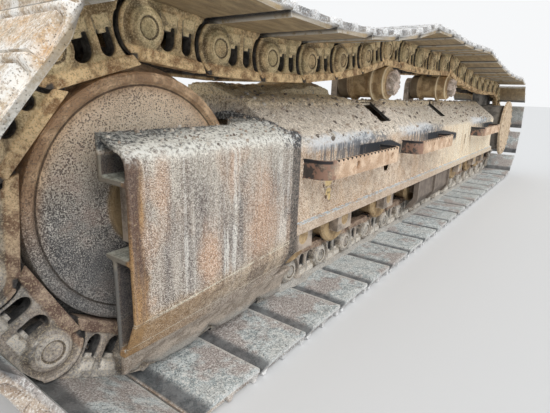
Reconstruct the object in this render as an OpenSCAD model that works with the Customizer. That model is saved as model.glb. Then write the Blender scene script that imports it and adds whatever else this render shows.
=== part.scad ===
// Crawler track unit of a tracked excavator: the left side of its undercarriage.
// Millimetres. +X points to the idler end, +Y outboard and +Z up, with the ground at Z = 0.

/* [Track chain] */
// Distance from pin to pin
pitch = 216; // [205:1:225]
// Number of links and shoes in the closed loop
link_count = 47; // [46:1:48]
// Height of the rail above the pins
rail_height = 66; // [60:1:70]
// Depth of the shoe seat below the pins
seat_depth = 60; // [56:1:66]
// Distance between the outer faces of the two link rows
chain_width = 244; // [236:1:250]
// Thickness of one link
link_thickness = 50; // [44:1:52]
// Gap between a link's rounded end and the next link as they turn on their pin
link_gap = 0.5; // [0.3:0.1:0.9]
// Radius of a bushing across its corners
bushing_r = 33; // [28:1:35]

/* [Track shoes] */
// Width of a shoe across the track
shoe_width = 664; // [500:1:800]
// Thickness of a shoe's plate
shoe_plate = 12; // [9:1:16]
// Height of a shoe from its seat to the tips of its three lugs
shoe_height = 36; // [28:1:44]
// Width of a lug at its tip
lug_tip = 14; // [10:1:18]
// Width of a lug at its foot
lug_foot = 26; // [20:1:32]
// Gap between neighbouring shoes
shoe_gap = 6; // [4:1:10]
// Reach of a shoe's front lip under its neighbour's edge
shoe_lip = 4; // [2:1:5]

/* [Idler] */
// Radius of the idler's tread
idler_r = 286; // [270:1:300]
// Gap between the turning idler and the links
idler_gap = 5; // [5:0.5:8]
// Width of the idler over its treads
idler_width = 210; // [196:1:220]
// Width of the centre flange that keeps the chain in line
idler_flange_width = 90; // [70:1:110]
// Height of the centre flange above the tread
idler_flange = 22; // [15:1:24]
// Width of the raised rim beside the flat disc
idler_rim = 24; // [16:1:36]
// Depth of the flat disc below the rim
idler_dish = 10; // [5:1:16]
// Thickness of the idler's disc plates
idler_plate = 14; // [10:1:20]
// Radius of the idler's hub
idler_hub_r = 92; // [80:1:110]
// Width of the idler's hub
idler_hub_width = 238; // [230:1:240]
// Radius of the idler's shaft
idler_shaft_r = 45; // [38:1:52]
// Radial clearance of the idler's bore on its shaft
bore_clearance = 0.05; // [0.02:0.01:0.1]

/* [Idler blocks and yoke] */
// Length of an idler block along the track
block_length = 190; // [150:1:220]
// Inner face of an idler block from the track's middle
block_inner_y = 125; // [123:1:130]
// Thickness of the yoke's cross plate
yoke_plate = 40; // [30:1:50]
// Height of the yoke's side arms
yoke_arm_height = 80; // [60:1:100]
// Thickness of the yoke's side arms
yoke_arm = 18; // [12:1:22]
// Gap between the idler's flange and the yoke
yoke_gap = 22; // [10:1:30]
// Radius of the yoke's rod
yoke_rod_r = 55; // [40:1:65]

/* [Nose] */
// Reach of the nose ahead of the idler's centre
nose_reach = 160; // [120:1:190]
// Outer face of the nose from the track's middle
nose_y = 250; // [240:1:270]
// Inner face of the nose's upper arm from the track's middle
nose_inner_y = 150; // [146:1:156]
// Thickness of the nose's plates
nose_plate = 12; // [8:1:16]
// Top of the nose above the idler's centre
nose_top = 169; // [150:1:176]
// Drop of the nose's top plate towards its outer edge
nose_top_drop = 22; // [14:1:26]
// Radius of the nose's top outer edge
nose_bend_r = 37; // [25:1:50]
// Height of the window in which the idler block slides
window_height = 145; // [130:1:160]
// Inner edge of the ledge that carries the idler block
ledge_y = 158; // [150:1:166]
// Inner face of the nose's lower arm from the track's middle
lower_arm_y = 180; // [172:1:186]
// Depth of the nose's outer crease below the idler's centre
crease_drop = 205; // [190:1:220]
// Height of the bevel under the crease
bevel_height = 98; // [80:1:110]
// Inward run of the bevel
bevel_run = 50; // [40:1:56]
// Size of the cut at the nose's lower rear corner
nose_corner = 95; // [60:1:120]
// Radius of the nose's rear outer edge
nose_rear_r = 36; // [20:1:44]
// Inner edge of the nose's top plate behind the idler, from the track's middle
nose_wide_y = 85; // [80:1:100]
// Rise of the top plate from there to that inner edge
nose_wide_rise = 10; // [6:1:14]
// Distance of that wider part's slanted edge behind the idler's centre, at its rear end
nose_wide_rear = 276; // [272:1:290]
// Run of that slanted edge along the track
nose_wide_run = 66; // [50:1:80]
// Thickness of the cross bar between the noses, ahead of the frame
cross_bar = 40; // [30:1:50]
// Height of the cross bar over its ends
cross_bar_rise = 14; // [8:1:20]
// Height of the cross bar's ends
cross_bar_height = 14; // [12:1:20]

/* [Track frame] */
// Room for the yoke's slide between its cross plate and the frame's front end
yoke_slide = 30; // [20:1:50]
// Distance of the frame's rear corners ahead of the sprocket's centre
frame_rear = 350; // [340:1:380]
// Radius of the round cut in the frame's rear end about the sprocket's centre
frame_cut_r = 400; // [390:1:420]
// Outer face of the frame's walls from the track's middle
wall_y = 205; // [198:1:212]
// Thickness of the frame's walls and roof
wall = 12; // [8:1:16]
// Thickness of the frame's end plates
end_plate = 20; // [12:1:30]
// Height of the underside of the frame above the ground
frame_bottom = 286; // [283:1:296]
// Outer edge of the bottom flange from the track's middle
flange_y = 220; // [214:1:228]
// Inner edge of the bottom flange from the track's middle
flange_inner_y = 150; // [149:1:156]
// Thickness of the bottom flange
flange = 35; // [25:1:40]
// Height of the underside of the frame's floor above the ground
floor_z = 378; // [370:1:390]
// Height of the corner between a wall and the roof
shoulder_z = 570; // [550:1:590]
// Radius of the bend at that corner
shoulder_r = 40; // [25:1:60]
// Height of the roof's flat ridge
ridge_z = 697; // [685:1:700]
// Half of the ridge's width
ridge_half = 30; // [20:1:45]

/* [Leg seat] */
// Distance of the leg seat's rear end behind the idler's centre
leg_seat_rear = 1150; // [1120:1:1180]
// Height of the leg seat's top above the ground
leg_seat_top = 737; // [730:1:742]
// Inboard run of the leg seat's sloping top
leg_seat_run = 130; // [110:1:150]
// Run of the sweep at the leg seat's rear end
leg_sweep = 170; // [120:1:200]

/* [Steps] */
// Reach of a step from the frame's wall
step_reach = 95; // [80:1:110]
// Height of a step's bar
step_height = 60; // [50:1:75]
// Thickness of a step's bar
step_bar = 12; // [8:1:16]
// Height of a step's top edge above the ground
step_top = 526; // [515:1:536]
// Outer radius of a step's bends
step_bend = 45; // [30:1:60]
// Distance between the teeth along a step's top edge
step_tooth = 30; // [20:1:40]
// Depth of those teeth
step_tooth_depth = 9; // [5:1:12]
// Radius of the two holes in a step's bar
step_hole_r = 14; // [8:1:18]
// Distance of the first hole behind a step's front leg
step_hole_front = 200; // [150:1:230]
// Distance of the second hole ahead of a step's rear leg
step_hole_rear = 100; // [80:1:120]

/* [Rollers] */
// Number of track rollers
roller_count = 8; // [7:1:9]
// Distance of the first track roller behind the idler's centre
roller_first = 550; // [530:1:580]
// Distance between the two rollers at each end of the row
roller_end_step = 300; // [260:1:330]
// Distance of the last track roller ahead of the sprocket's centre
roller_last = 520; // [480:1:560]
// Radius of a track roller's treads
roller_r = 90; // [86:1:92]
// Height of a track roller's outer flanges above its treads
roller_flange = 16; // [12:1:18]
// Radius of a track roller's shaft
roller_shaft_r = 28; // [24:1:30]
// Length of a roller bracket along the track
bracket_length = 110; // [90:1:130]
// Outer face of the roller brackets from the track's middle
bracket_y = 186; // [180:1:189]
// Distance of the front carrier roller behind the idler's centre
carrier_front = 1340; // [1300:1:1380]
// Distance of the rear carrier roller behind the idler's centre
carrier_rear = 2330; // [2290:1:2370]
// Radius of a carrier roller's treads
carrier_r = 74; // [68:1:76]
// Height of the pins above the ground where a carrier roller bears
carrier_pin_z = 932; // [920:1:934]
// Radius of a carrier roller's shaft
carrier_shaft_r = 32; // [26:1:36]
// Sag of the top run between idler and front carrier roller
front_sag = 64; // [50:1:70]
// Sag of the top run between the carrier rollers
middle_sag = 22; // [15:1:30]
// Sag of the top run between rear carrier roller and sprocket
rear_sag = 40; // [30:1:50]

/* [Chain guard] */
// Length of the chain guards
guard_length = 600; // [400:1:700]
// Distance of the chain guards' front end behind the idler's centre
guard_front = 1640; // [1600:1:1700]
// Thickness of a chain guard
guard_plate = 12; // [8:1:16]
// Height of a chain guard's lower edge above the ground
guard_bottom = 120; // [100:1:140]

/* [Final drive] */
// Number of sprocket teeth, of which each second gap takes a bushing
sprocket_teeth = 21; // [21:2:23]
// Thickness of the sprocket
sprocket_width = 60; // [50:1:70]
// Height of the teeth above the pins
tooth_height = 14; // [8:1:18]
// Radial play of a bushing in its tooth gap
tooth_play = 6; // [5:1:7]
// Radius of the final drive's drum
drum_r = 205; // [190:1:215]
// Outer end of the drum from the track's middle
drum_y = 235; // [225:1:245]
// Radius of the cover on the drum's end
cover_r = 245; // [230:1:255]
// Thickness of the cover
cover = 22; // [14:1:28]
// Radius of the travel motor
motor_r = 150; // [130:1:165]
// Inner end of the travel motor from the track's middle
motor_y = 318; // [300:1:330]
// Radius of the drive bracket's ring
bracket_ring_r = 232; // [220:1:240]
// Thickness of the drive bracket
bracket_plate = 40; // [30:1:45]

/* [Mounting pads] */
// Distance of each pad's middle from the middle of the frame
pad_offset = 1200; // [1100:1:1220]
// Length of a pad's flange along the track
pad_length = 520; // [480:1:560]
// Height of a pad's flange
pad_height = 230; // [210:1:236]
// Height of a pad's lower edge above the ground
pad_bottom = 328; // [324:1:332]
// Face of the pads from the track's middle
pad_y = 332; // [310:1:340]
// Thickness of a pad's flange
pad_flange = 30; // [20:1:40]
// Wall of the box behind a pad's flange
pad_wall = 22; // [16:1:30]
// Radius of a pad's bolt holes
pad_hole_r = 17; // [12:1:20]
// Margin from a pad's ends to the middles of its bolt holes
pad_margin_x = 35; // [30:1:45]
// Margin from a pad's upper and lower edges to the middles of its bolt holes
pad_margin_z = 40; // [30:1:50]

/* [Hidden] */
// Gap left where one fixed piece rests on the round of another
seat_gap = 0.3;
// Depth by which a cutting solid passes the face that it cuts
cut_over = 5;
// Facets of the turned pieces
$fn = 72;

// Heights of the bottom run
pin_z = shoe_height + seat_depth;
rail_z = pin_z + rail_height;
// The rails are tangents of the idler's running circle at the middle of each link
idler_run_r = idler_r + idler_gap + rail_height;
idler_pin_r = sqrt(pow(idler_run_r, 2) + pow(pitch / 2, 2));
idler_step = 2 * atan(pitch / 2 / idler_run_r);
idler_z = pin_z + idler_pin_r;
sprocket_step = 2 * 360 / sprocket_teeth;
sprocket_pin_r = pitch / 2 / sin(sprocket_step / 2);
sprocket_z = pin_z + sprocket_pin_r;

// The idler is set so far ahead that the loop closes: half of what the arcs and the sag leave
function span_extra(length, rise, sag) = rise * rise / 2 / length + 8 * sag * sag / 3 / length;
arc_links = 180 / idler_step + 180 / sprocket_step;
half_loop = pitch * (link_count - arc_links) / 2;
sag_extra = span_extra(carrier_front, carrier_pin_z - idler_z - idler_pin_r, front_sag)
    + span_extra(carrier_rear - carrier_front, 0, middle_sag)
    + span_extra(half_loop - carrier_rear, carrier_pin_z - sprocket_z - sprocket_pin_r, rear_sag);
centre_distance = half_loop - sag_extra / 2;

// Supports of the top run: [distance behind the idler's centre, height of the pins, sag before it]
supports = [
    [0, idler_z + idler_pin_r, 0],
    [carrier_front, carrier_pin_z, front_sag],
    [carrier_rear, carrier_pin_z, middle_sag],
    [centre_distance, sprocket_z + sprocket_pin_r, rear_sag]];
function span_z(from, to, d) =
    let (t = (d - from[0]) / (to[0] - from[0]))
    from[1] + (to[1] - from[1]) * t - 4 * to[2] * t * (1 - t);
function top_z(d) =
    d < supports[1][0] ? span_z(supports[0], supports[1], d)
    : d < supports[2][0] ? span_z(supports[1], supports[2], d)
    : span_z(supports[2], supports[3], d);
// The next pin lies one pitch further back on the same line
function next_pin(d, guess, tries) =
    tries == 0 ? guess
    : next_pin(d, d + sqrt(pitch * pitch - pow(top_z(guess) - top_z(d), 2)), tries - 1);
function top_pins(d, left) =
    left == 0 ? []
    : concat([[-d, top_z(d)]], top_pins(next_pin(d, d + pitch, 5), left - 1));
// Pins counted in links from the idler's top, forward, down and back along the ground
idler_links = 180 / idler_step;
ground_links = idler_links + centre_distance / pitch;
lower_count = floor(ground_links + 180 / sprocket_step);
function lower_pin(j) =
    j <= idler_links ? [idler_pin_r * cos(90 - j * idler_step),
        idler_z + idler_pin_r * sin(90 - j * idler_step)]
    : j <= ground_links ? [-(j - idler_links) * pitch, pin_z]
    : [-centre_distance + sprocket_pin_r * cos(270 - (j - ground_links) * sprocket_step),
        sprocket_z + sprocket_pin_r * sin(270 - (j - ground_links) * sprocket_step)];
loop_pins = concat(top_pins(0, link_count - lower_count), [for (j = [lower_count:-1:1]) lower_pin(j)]);

// Shoe outline in the link's own frame: x along the chain, y towards the rail, pins at y = 0
lug_x = pitch / 2 - shoe_gap / 2 - lug_foot / 2;
lug_tip_y = -seat_depth - shoe_height;
lug_foot_y = -seat_depth - shoe_plate;
shoe_outline = [
    [-pitch / 2 + shoe_gap / 2 - shoe_lip, -seat_depth],
    [-lug_x - lug_foot / 2, lug_foot_y],
    [-lug_x - lug_tip / 2, lug_tip_y], [-lug_x + lug_tip / 2, lug_tip_y],
    [-lug_x + lug_foot / 2, lug_foot_y], [-lug_foot / 2, lug_foot_y],
    [-lug_tip / 2, lug_tip_y], [lug_tip / 2, lug_tip_y],
    [lug_foot / 2, lug_foot_y], [lug_x - lug_foot / 2, lug_foot_y],
    [lug_x - lug_tip / 2, lug_tip_y], [lug_x + lug_tip / 2, lug_tip_y],
    [lug_x + lug_foot / 2 - shoe_lip, -seat_depth]];

// Place of link k: middle between its pins, and the direction from one to the next
function link_angle(k) =
    let (a = loop_pins[k], b = loop_pins[(k + 1) % link_count]) atan2(b[1] - a[1], b[0] - a[0]);
function link_middle(k) = (loop_pins[k] + loop_pins[(k + 1) % link_count]) / 2;
function turned(p, angle) = [p[0] * cos(angle) - p[1] * sin(angle), p[0] * sin(angle) + p[1] * cos(angle)];
lug_reach = [for (k = [0:link_count - 1]) for (p = shoe_outline)
    link_middle(k)[0] + turned(p, link_angle(k))[0]];
// The origin is under the middle of the whole loop
idler_x = -(max(lug_reach) + min(lug_reach)) / 2;
sprocket_x = idler_x - centre_distance;

// A carrier roller's centre lies one radius under the rails above it
function rail_over(k, x, r) =
    let (m = link_middle(k), a = link_angle(k))
    m[1] + (x - m[0]) * tan(a) - (rail_height + r) / abs(cos(a));
function carrier_z(distance) =
    min([for (k = [0:link_count - lower_count - 1])
        if (abs(link_middle(k)[0] + distance) < pitch) rail_over(k, -distance, carrier_r)]) - seat_gap;

chain_half = chain_width / 2;
frame_front = idler_r + idler_flange + yoke_gap + yoke_plate + yoke_slide;
link_inner_y = chain_half - link_thickness;
roller_z = rail_z + seat_gap + roller_r;
frame_front_x = idler_x - frame_front;
frame_rear_x = sprocket_x + frame_rear;
frame_middle_x = (frame_front_x + frame_rear_x) / 2;
roof_slope = atan((ridge_z - shoulder_z) / (wall_y - ridge_half));
window_top = idler_z + window_height / 2;
window_bottom = idler_z - window_height / 2;
crease_z = idler_z - crease_drop;
yoke_x = idler_x - idler_r - idler_flange - yoke_gap;
bracket_face_y = -80;
pad_hole_x = pad_length - 2 * pad_margin_x;
pad_hole_z = pad_height - 2 * pad_margin_z;

function arc(centre, r, from, to, steps) =
    [for (i = [0:steps]) let (a = from + (to - from) * i / steps) centre + r * [cos(a), sin(a)]];

// Solids drawn in the side plane: x forward, y up, thickness across the track
module across(y_low, y_high) {
    translate([0, y_high, 0]) rotate([90, 0, 0]) linear_extrude(y_high - y_low) children();
}
// Solids drawn in the cross section: x outboard, y up, length along the track
module along(x_low, x_high) {
    translate([x_low, 0, 0]) rotate([90, 0, 90]) linear_extrude(x_high - x_low) children();
}
// Solids turned about an axis across the track, drawn as [radius, distance outboard]
module turned_on(x, z) {
    translate([x, 0, z]) rotate([-90, 0, 0]) rotate_extrude() children();
}
module at_link(k) {
    translate([idler_x + link_middle(k)[0], link_middle(k)[1]]) rotate(link_angle(k)) children();
}

// Track chain
module track_shoes() {
    color("rosybrown")
    for (k = [0:link_count - 1])
        across(-shoe_width / 2, shoe_width / 2) at_link(k) polygon(shoe_outline);
}

// One link from the side: an end rounded about its pin, and a tail cut to lie close to the next
// link's rounded end, which turns on the same pin by the bend between the two.
// The heel keeps clear of the neighbouring shoe as the chain bends.
heel_r = seat_depth - 2;
// The rounded end as [angle, radius] about its pin
link_boss = [[90, rail_height], [135, rail_height], [180, rail_height], [225, heel_r]];
function bend_after(k) =
    let (b = link_angle((k + 1) % link_count) - link_angle(k)) b - 360 * round(b / 360);
function boss_reach(bend, direction) =
    max([for (p = link_boss) p[1] * cos(p[0] + bend - direction)]) + link_gap;
// Direction in which the tail's slope by the rail faces the pin, past the largest bend
slope_face = 91 + max(idler_step, sprocket_step);
// Half of a link from pin to pin: the link that closes the loop takes up what is left
function link_half(k) = norm(loop_pins[(k + 1) % link_count] - loop_pins[k]) / 2;
function link_outline(k) =
    let (half = link_half(k), bend = bend_after(k),
        flat = boss_reach(bend, 180), slope = boss_reach(bend, slope_face))
    concat([for (p = link_boss) [-half, 0] + p[1] * [cos(p[0]), sin(p[0])]],
        [[-half + shoe_gap / 2, -seat_depth], [half - flat, -seat_depth],
            [half - flat, (slope + flat * cos(slope_face)) / sin(slope_face)],
            [half + (slope - rail_height * sin(slope_face)) / cos(slope_face), rail_height]]);
module link_row(y_low) {
    for (k = [0:link_count - 1])
        across(y_low, y_low + link_thickness) at_link(k) polygon(link_outline(k));
}
module chain_outer() { color("darkgoldenrod") link_row(link_inner_y); }
module chain_inner() { color("darkgoldenrod") link_row(-chain_half); }
module chain_bushings() {
    color("peru")
    for (k = [0:link_count - 1])
        across(-link_inner_y, link_inner_y)
            translate([idler_x + loop_pins[k][0], loop_pins[k][1]]) circle(bushing_r, $fn = 6);
}

// Idler wheel with two treads, a centre flange and a flat disc on each side
module idler_wheel() {
    half = idler_width / 2;
    disc_y = half - idler_dish;
    hub_y = idler_hub_width / 2;
    flange_half = idler_flange_width / 2;
    rim_r = idler_r - idler_rim;
    color("tan")
    turned_on(idler_x, idler_z) difference() {
        polygon([
            [idler_shaft_r + bore_clearance, -hub_y], [idler_hub_r, -hub_y], [idler_hub_r, -disc_y],
            [rim_r, -disc_y], [rim_r, -half], [idler_r - 4, -half], [idler_r, -half + 4],
            [idler_r, -flange_half - 4], [idler_r + idler_flange, -flange_half + 4],
            [idler_r + idler_flange, flange_half - 4], [idler_r, flange_half + 4],
            [idler_r, half - 4], [idler_r - 4, half], [rim_r, half], [rim_r, disc_y],
            [idler_hub_r, disc_y], [idler_hub_r, hub_y], [idler_shaft_r + bore_clearance, hub_y]]);
        polygon([
            [idler_hub_r, -disc_y + idler_plate], [rim_r - idler_plate, -disc_y + idler_plate],
            [rim_r - idler_plate, disc_y - idler_plate], [idler_hub_r, disc_y - idler_plate]]);
    }
}
module idler_shaft() {
    color("silver")
    translate([idler_x, 0, idler_z]) rotate([90, 0, 0])
        cylinder(h = 2 * block_inner_y, r = idler_shaft_r, center = true);
}
// Sliding block that carries one end of the idler's shaft in the nose's window
module idler_block(side) {
    low = side > 0 ? block_inner_y : -nose_y + nose_plate + seat_gap;
    high = side > 0 ? nose_y - nose_plate - seat_gap : -block_inner_y;
    color("saddlebrown")
    across(low, high)
        translate([idler_x - block_length / 2, window_bottom + seat_gap])
            square([block_length, window_height - 2 * seat_gap]);
}
// Fork behind the idler: cross plate, two side arms and the rod into the frame
module idler_yoke() {
    arm_y = nose_inner_y - seat_gap;
    color("dimgray") {
        across(-arm_y, arm_y)
            translate([yoke_x - yoke_plate, window_bottom]) square([yoke_plate, window_height]);
        for (side = [-1, 1])
            across(min(side * arm_y, side * (arm_y - yoke_arm)), max(side * arm_y, side * (arm_y - yoke_arm)))
                translate([yoke_x - cut_over, idler_z - yoke_arm_height / 2])
                    square([idler_x - block_length / 2 - yoke_x + cut_over, yoke_arm_height]);
        translate([frame_front_x - end_plate, 0, idler_z]) rotate([0, 90, 0])
            cylinder(h = yoke_x - yoke_plate / 2 - frame_front_x + end_plate, r = yoke_rod_r);
    }
}

// Nose: folded plate box on each side of the idler, with hollow arms above and below the window
nose_front_x = idler_x + nose_reach;
nose_top_z = idler_z + nose_top;
nose_shoulder_z = nose_top_z - nose_top_drop;
nose_bottom_z = crease_z - bevel_height;
nose_skin = concat([[nose_inner_y, nose_top_z]],
    arc([nose_y - nose_bend_r, nose_shoulder_z - nose_bend_r], nose_bend_r, 90, 0, 6),
    [[nose_y, crease_z], [nose_y - bevel_run, nose_bottom_z]]);
module nose_section() {
    bevel_low = nose_y - bevel_run;
    difference() {
        polygon(concat(nose_skin, [[lower_arm_y, nose_bottom_z], [lower_arm_y, window_bottom - nose_plate],
            [ledge_y, window_bottom - nose_plate], [ledge_y, window_bottom],
            [nose_inner_y, window_bottom]]));
        polygon(concat([[nose_inner_y + nose_plate, nose_top_z - nose_plate]],
            arc([nose_y - nose_bend_r, nose_shoulder_z - nose_bend_r], nose_bend_r - nose_plate, 90, 0, 6),
            [[nose_y - nose_plate, window_top + nose_plate], [nose_inner_y + nose_plate, window_top + nose_plate]]));
        translate([nose_inner_y - cut_over, window_bottom])
            square([nose_y - nose_plate - nose_inner_y + cut_over, window_height]);
        polygon([[nose_y - nose_plate, window_bottom - nose_plate], [nose_y - nose_plate, crease_z],
            [bevel_low, nose_bottom_z + nose_plate],
            [lower_arm_y + nose_plate, nose_bottom_z + nose_plate],
            [lower_arm_y + nose_plate, window_bottom - nose_plate]]);
    }
}
module nose_side_outline() {
    polygon([[frame_front_x - nose_rear_r, nose_bottom_z + nose_corner],
        [frame_front_x - nose_rear_r + nose_corner, nose_bottom_z],
        [nose_front_x, nose_bottom_z], [nose_front_x, nose_top_z],
        [frame_front_x - nose_rear_r, nose_top_z]]);
}
// The outer plate turns in behind the frame's front end and meets its wall
module nose_rear_rim() {
    low_x = frame_front_x - nose_rear_r;
    intersection() {
        along(low_x, frame_front_x) polygon(concat(nose_skin, [[nose_inner_y, nose_bottom_z]]));
        translate([0, 0, nose_bottom_z]) linear_extrude(nose_top_z - nose_bottom_z)
            polygon(concat([[frame_front_x, wall_y + seat_gap], [low_x, wall_y + seat_gap]],
                arc([frame_front_x, nose_y - nose_rear_r], nose_rear_r, 180, 90, 6)));
    }
}
// Behind the idler the top plate reaches further inboard, up a gentler slope
nose_wide_z = nose_top_z + nose_wide_rise;
module nose_wide_top() {
    slant_x = idler_x - nose_wide_rear;
    intersection() {
        along(frame_front_x, slant_x + nose_wide_run)
            polygon([[nose_wide_y, nose_wide_z], [nose_inner_y, nose_top_z],
                [nose_inner_y, nose_top_z - nose_plate], [nose_wide_y, nose_wide_z - nose_plate]]);
        translate([0, 0, window_top]) linear_extrude(ridge_z - window_top)
            polygon([[frame_front_x, nose_wide_y], [slant_x, nose_wide_y],
                [slant_x + nose_wide_run, nose_inner_y], [frame_front_x, nose_inner_y]]);
    }
}
module nose() {
    color("rosybrown")
    difference() {
        union() {
            intersection() {
                union() {
                    along(frame_front_x, nose_front_x) nose_section();
                    nose_rear_rim();
                }
                across(0, nose_y + cut_over) nose_side_outline();
            }
            nose_wide_top();
        }
        translate([frame_front_x - nose_rear_r - cut_over, 0, frame_bottom - seat_gap])
            cube([nose_rear_r + cut_over, flange_y + seat_gap, flange + 2 * seat_gap]);
    }
}
module nose_outer() { nose(); }
module nose_inner() { mirror([0, 1, 0]) nose(); }

// Cross bar between the noses' top plates, ahead of the frame's end plate
module cross_bar() {
    low_z = nose_wide_z - cross_bar_height;
    color("rosybrown")
    along(frame_front_x, frame_front_x + cross_bar)
        polygon([[-nose_wide_y, nose_wide_z], [0, nose_wide_z + cross_bar_rise], [nose_wide_y, nose_wide_z],
            [nose_wide_y, low_z], [-nose_wide_y, low_z]]);
}

// Track frame: hollow box beam with a sloping roof, open below for the rollers.
// Its rear end plate stands a little inside the round cut.
end_plate_x = sprocket_x + frame_cut_r + 10;
function mirrored(points) = [for (i = [len(points) - 1:-1:0]) [-points[i][0], points[i][1]]];
roof_side = concat(
    [[flange_y, frame_bottom], [flange_y, frame_bottom + flange], [wall_y, frame_bottom + flange]],
    arc([wall_y - shoulder_r, shoulder_z - shoulder_r * tan((90 - roof_slope) / 2)], shoulder_r,
        0, 90 - roof_slope, 5),
    [[ridge_half, ridge_z]]);
channel_side = [[flange_inner_y, frame_bottom], [flange_inner_y, frame_bottom + flange],
    [wall_y - wall, frame_bottom + flange], [wall_y - wall, floor_z]];
module frame_section() {
    polygon(concat(roof_side, mirrored(roof_side), [for (p = channel_side) [-p[0], p[1]]],
        [for (i = [3:-1:0]) channel_side[i]]));
}
module frame_cavity() {
    roof_drop = wall / cos(roof_slope);
    side = [[wall_y - wall, floor_z + wall], [wall_y - wall, shoulder_z + wall * tan(roof_slope) - roof_drop],
        [ridge_half - (roof_drop - wall) / tan(roof_slope), ridge_z - wall]];
    polygon(concat(side, mirrored(side)));
}
// Slots in the roof's outboard slope: [distance behind the idler's centre, length along the track]
roof_slots = [[1260, 115], [2170, 92]];
slot_y = [38, 150];
// Holes in the outboard wall, narrower below:
// [distance behind the idler's centre, length at the top, length at the foot, height, middle above ground]
wall_holes = [[1190, 100, 60, 40, 418], [2580, 34, 34, 70, 446]];
module track_frame() {
    color("peru")
    difference() {
        along(frame_rear_x, frame_front_x) frame_section();
        along(end_plate_x + end_plate, frame_front_x - end_plate) frame_cavity();
        along(frame_rear_x - cut_over, end_plate_x) frame_cavity();
        across(-flange_y - cut_over, flange_y + cut_over)
            translate([sprocket_x, sprocket_z]) circle(frame_cut_r);
        for (s = roof_slots)
            translate([idler_x - s[0] - s[1] / 2, slot_y[0], floor_z + 2 * wall])
                cube([s[1], slot_y[1] - slot_y[0], ridge_z]);
        for (h = wall_holes)
            across(wall_y - wall - cut_over, wall_y + cut_over) translate([idler_x - h[0], h[4]])
                polygon([[-h[1] / 2, h[3] / 2], [-h[2] / 2, -h[3] / 2], [h[2] / 2, -h[3] / 2], [h[1] / 2, h[3] / 2]]);
        translate([frame_front_x - end_plate - cut_over, 0, idler_z]) rotate([0, 90, 0])
            cylinder(h = end_plate + 2 * cut_over, r = yoke_rod_r + bore_clearance);
    }
}

// Leg seat: box on the roof over the front pad, whose top rises inboard to take the leg's top plate.
// Its rear end sweeps down to the roof.
module leg_seat() {
    rear_x = idler_x - leg_seat_rear;
    rise = leg_seat_top - ridge_z;
    sweep_r = (pow(leg_sweep, 2) + pow(rise, 2)) / 2 / rise;
    color("peru")
    difference() {
        intersection() {
            along(rear_x, frame_front_x)
                polygon([[ridge_half, ridge_z], [ridge_half - leg_seat_run, leg_seat_top],
                    [-wall_y, leg_seat_top], [-wall_y, shoulder_z - shoulder_r]]);
            across(-wall_y, ridge_half)
                polygon(concat([[frame_front_x, floor_z], [frame_front_x, leg_seat_top]],
                    arc([rear_x, ridge_z + sweep_r], sweep_r, asin(leg_sweep / sweep_r) - 90, -90, 6),
                    [[rear_x, floor_z]]));
        }
        along(rear_x - cut_over, frame_front_x + cut_over) frame_section();
    }
}

// Steps: flat bar bent back to the wall at both ends
// [distance of the front leg behind the idler's centre, length]
steps = [[490, 600], [1330, 575], [2700, 640]];
module step(i) {
    front = idler_x - steps[i][0];
    rear = front - steps[i][1];
    outer = wall_y + step_reach;
    inner_bend = step_bend - step_bar;
    tooth_run = steps[i][1] - 2 * step_bend;
    teeth = floor(tooth_run / step_tooth);
    first_tooth = rear + (steps[i][1] - (teeth - 1) * step_tooth) / 2;
    color("sienna")
    difference() {
        translate([0, 0, step_top - step_height]) linear_extrude(step_height)
            difference() {
                union() {
                    translate([rear, wall_y]) square([steps[i][1], step_reach - step_bend]);
                    translate([rear + step_bend, wall_y]) square([steps[i][1] - 2 * step_bend, step_reach]);
                    for (x = [rear + step_bend, front - step_bend])
                        translate([x, outer - step_bend]) circle(step_bend);
                }
                translate([rear + step_bar, wall_y - cut_over])
                    square([steps[i][1] - 2 * step_bar, step_reach - step_bend + cut_over]);
                translate([rear + step_bend, wall_y - cut_over])
                    square([steps[i][1] - 2 * step_bend, step_reach - step_bar + cut_over]);
                for (x = [rear + step_bend, front - step_bend])
                    translate([x, outer - step_bend]) circle(inner_bend);
            }
        across(outer - step_bar - cut_over, outer + cut_over)
            for (k = [0:teeth - 1])
                translate([first_tooth + k * step_tooth, step_top])
                    polygon([[-step_tooth / 3, cut_over], [0, -step_tooth_depth], [step_tooth / 3, cut_over]]);
        for (x = [front - step_hole_front, rear + step_hole_rear])
            translate([x, outer + cut_over, step_top - step_height / 2]) rotate([90, 0, 0])
                cylinder(h = step_bar + 2 * cut_over, r = step_hole_r);
    }
}

// Track rollers with outer flanges, held by brackets under the bottom flange
roller_spacing = (centre_distance - roller_first - roller_last - 2 * roller_end_step) / (roller_count - 3);
function roller_x(i) =
    i == 0 ? idler_x - roller_first
    : i == roller_count - 1 ? sprocket_x + roller_last
    : idler_x - roller_first - roller_end_step - (i - 1) * roller_spacing;
module track_roller(i) {
    tread_y = chain_half + 2;
    end_y = flange_inner_y - 4;
    neck_y = link_inner_y - 12;
    rim_r = roller_r + roller_flange;
    half = [[roller_r - 10, 0], [roller_r - 10, neck_y - 8], [roller_r, neck_y], [roller_r, tread_y],
        [rim_r, tread_y + 4], [rim_r, end_y - 8], [rim_r - 8, end_y], [roller_shaft_r, end_y],
        [roller_shaft_r, bracket_y], [0, bracket_y]];
    color("saddlebrown")
    turned_on(roller_x(i), roller_z)
        polygon(concat([for (p = half) p], [for (j = [len(half) - 1:-1:1]) [half[j][0], -half[j][1]]]));
}
bracket_land = 18;
module roller_brackets() {
    low_z = roller_z - roller_shaft_r - bracket_land;
    color("dimgray")
    for (i = [0:roller_count - 1]) for (side = [-1, 1])
        difference() {
            across(min(side * flange_inner_y, side * bracket_y), max(side * flange_inner_y, side * bracket_y))
                translate([roller_x(i) - bracket_length / 2, low_z])
                    square([bracket_length, frame_bottom - low_z]);
            translate([roller_x(i), 0, roller_z]) rotate([90, 0, 0])
                cylinder(h = 3 * bracket_y, r = roller_shaft_r + bore_clearance, center = true);
        }
}

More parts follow.
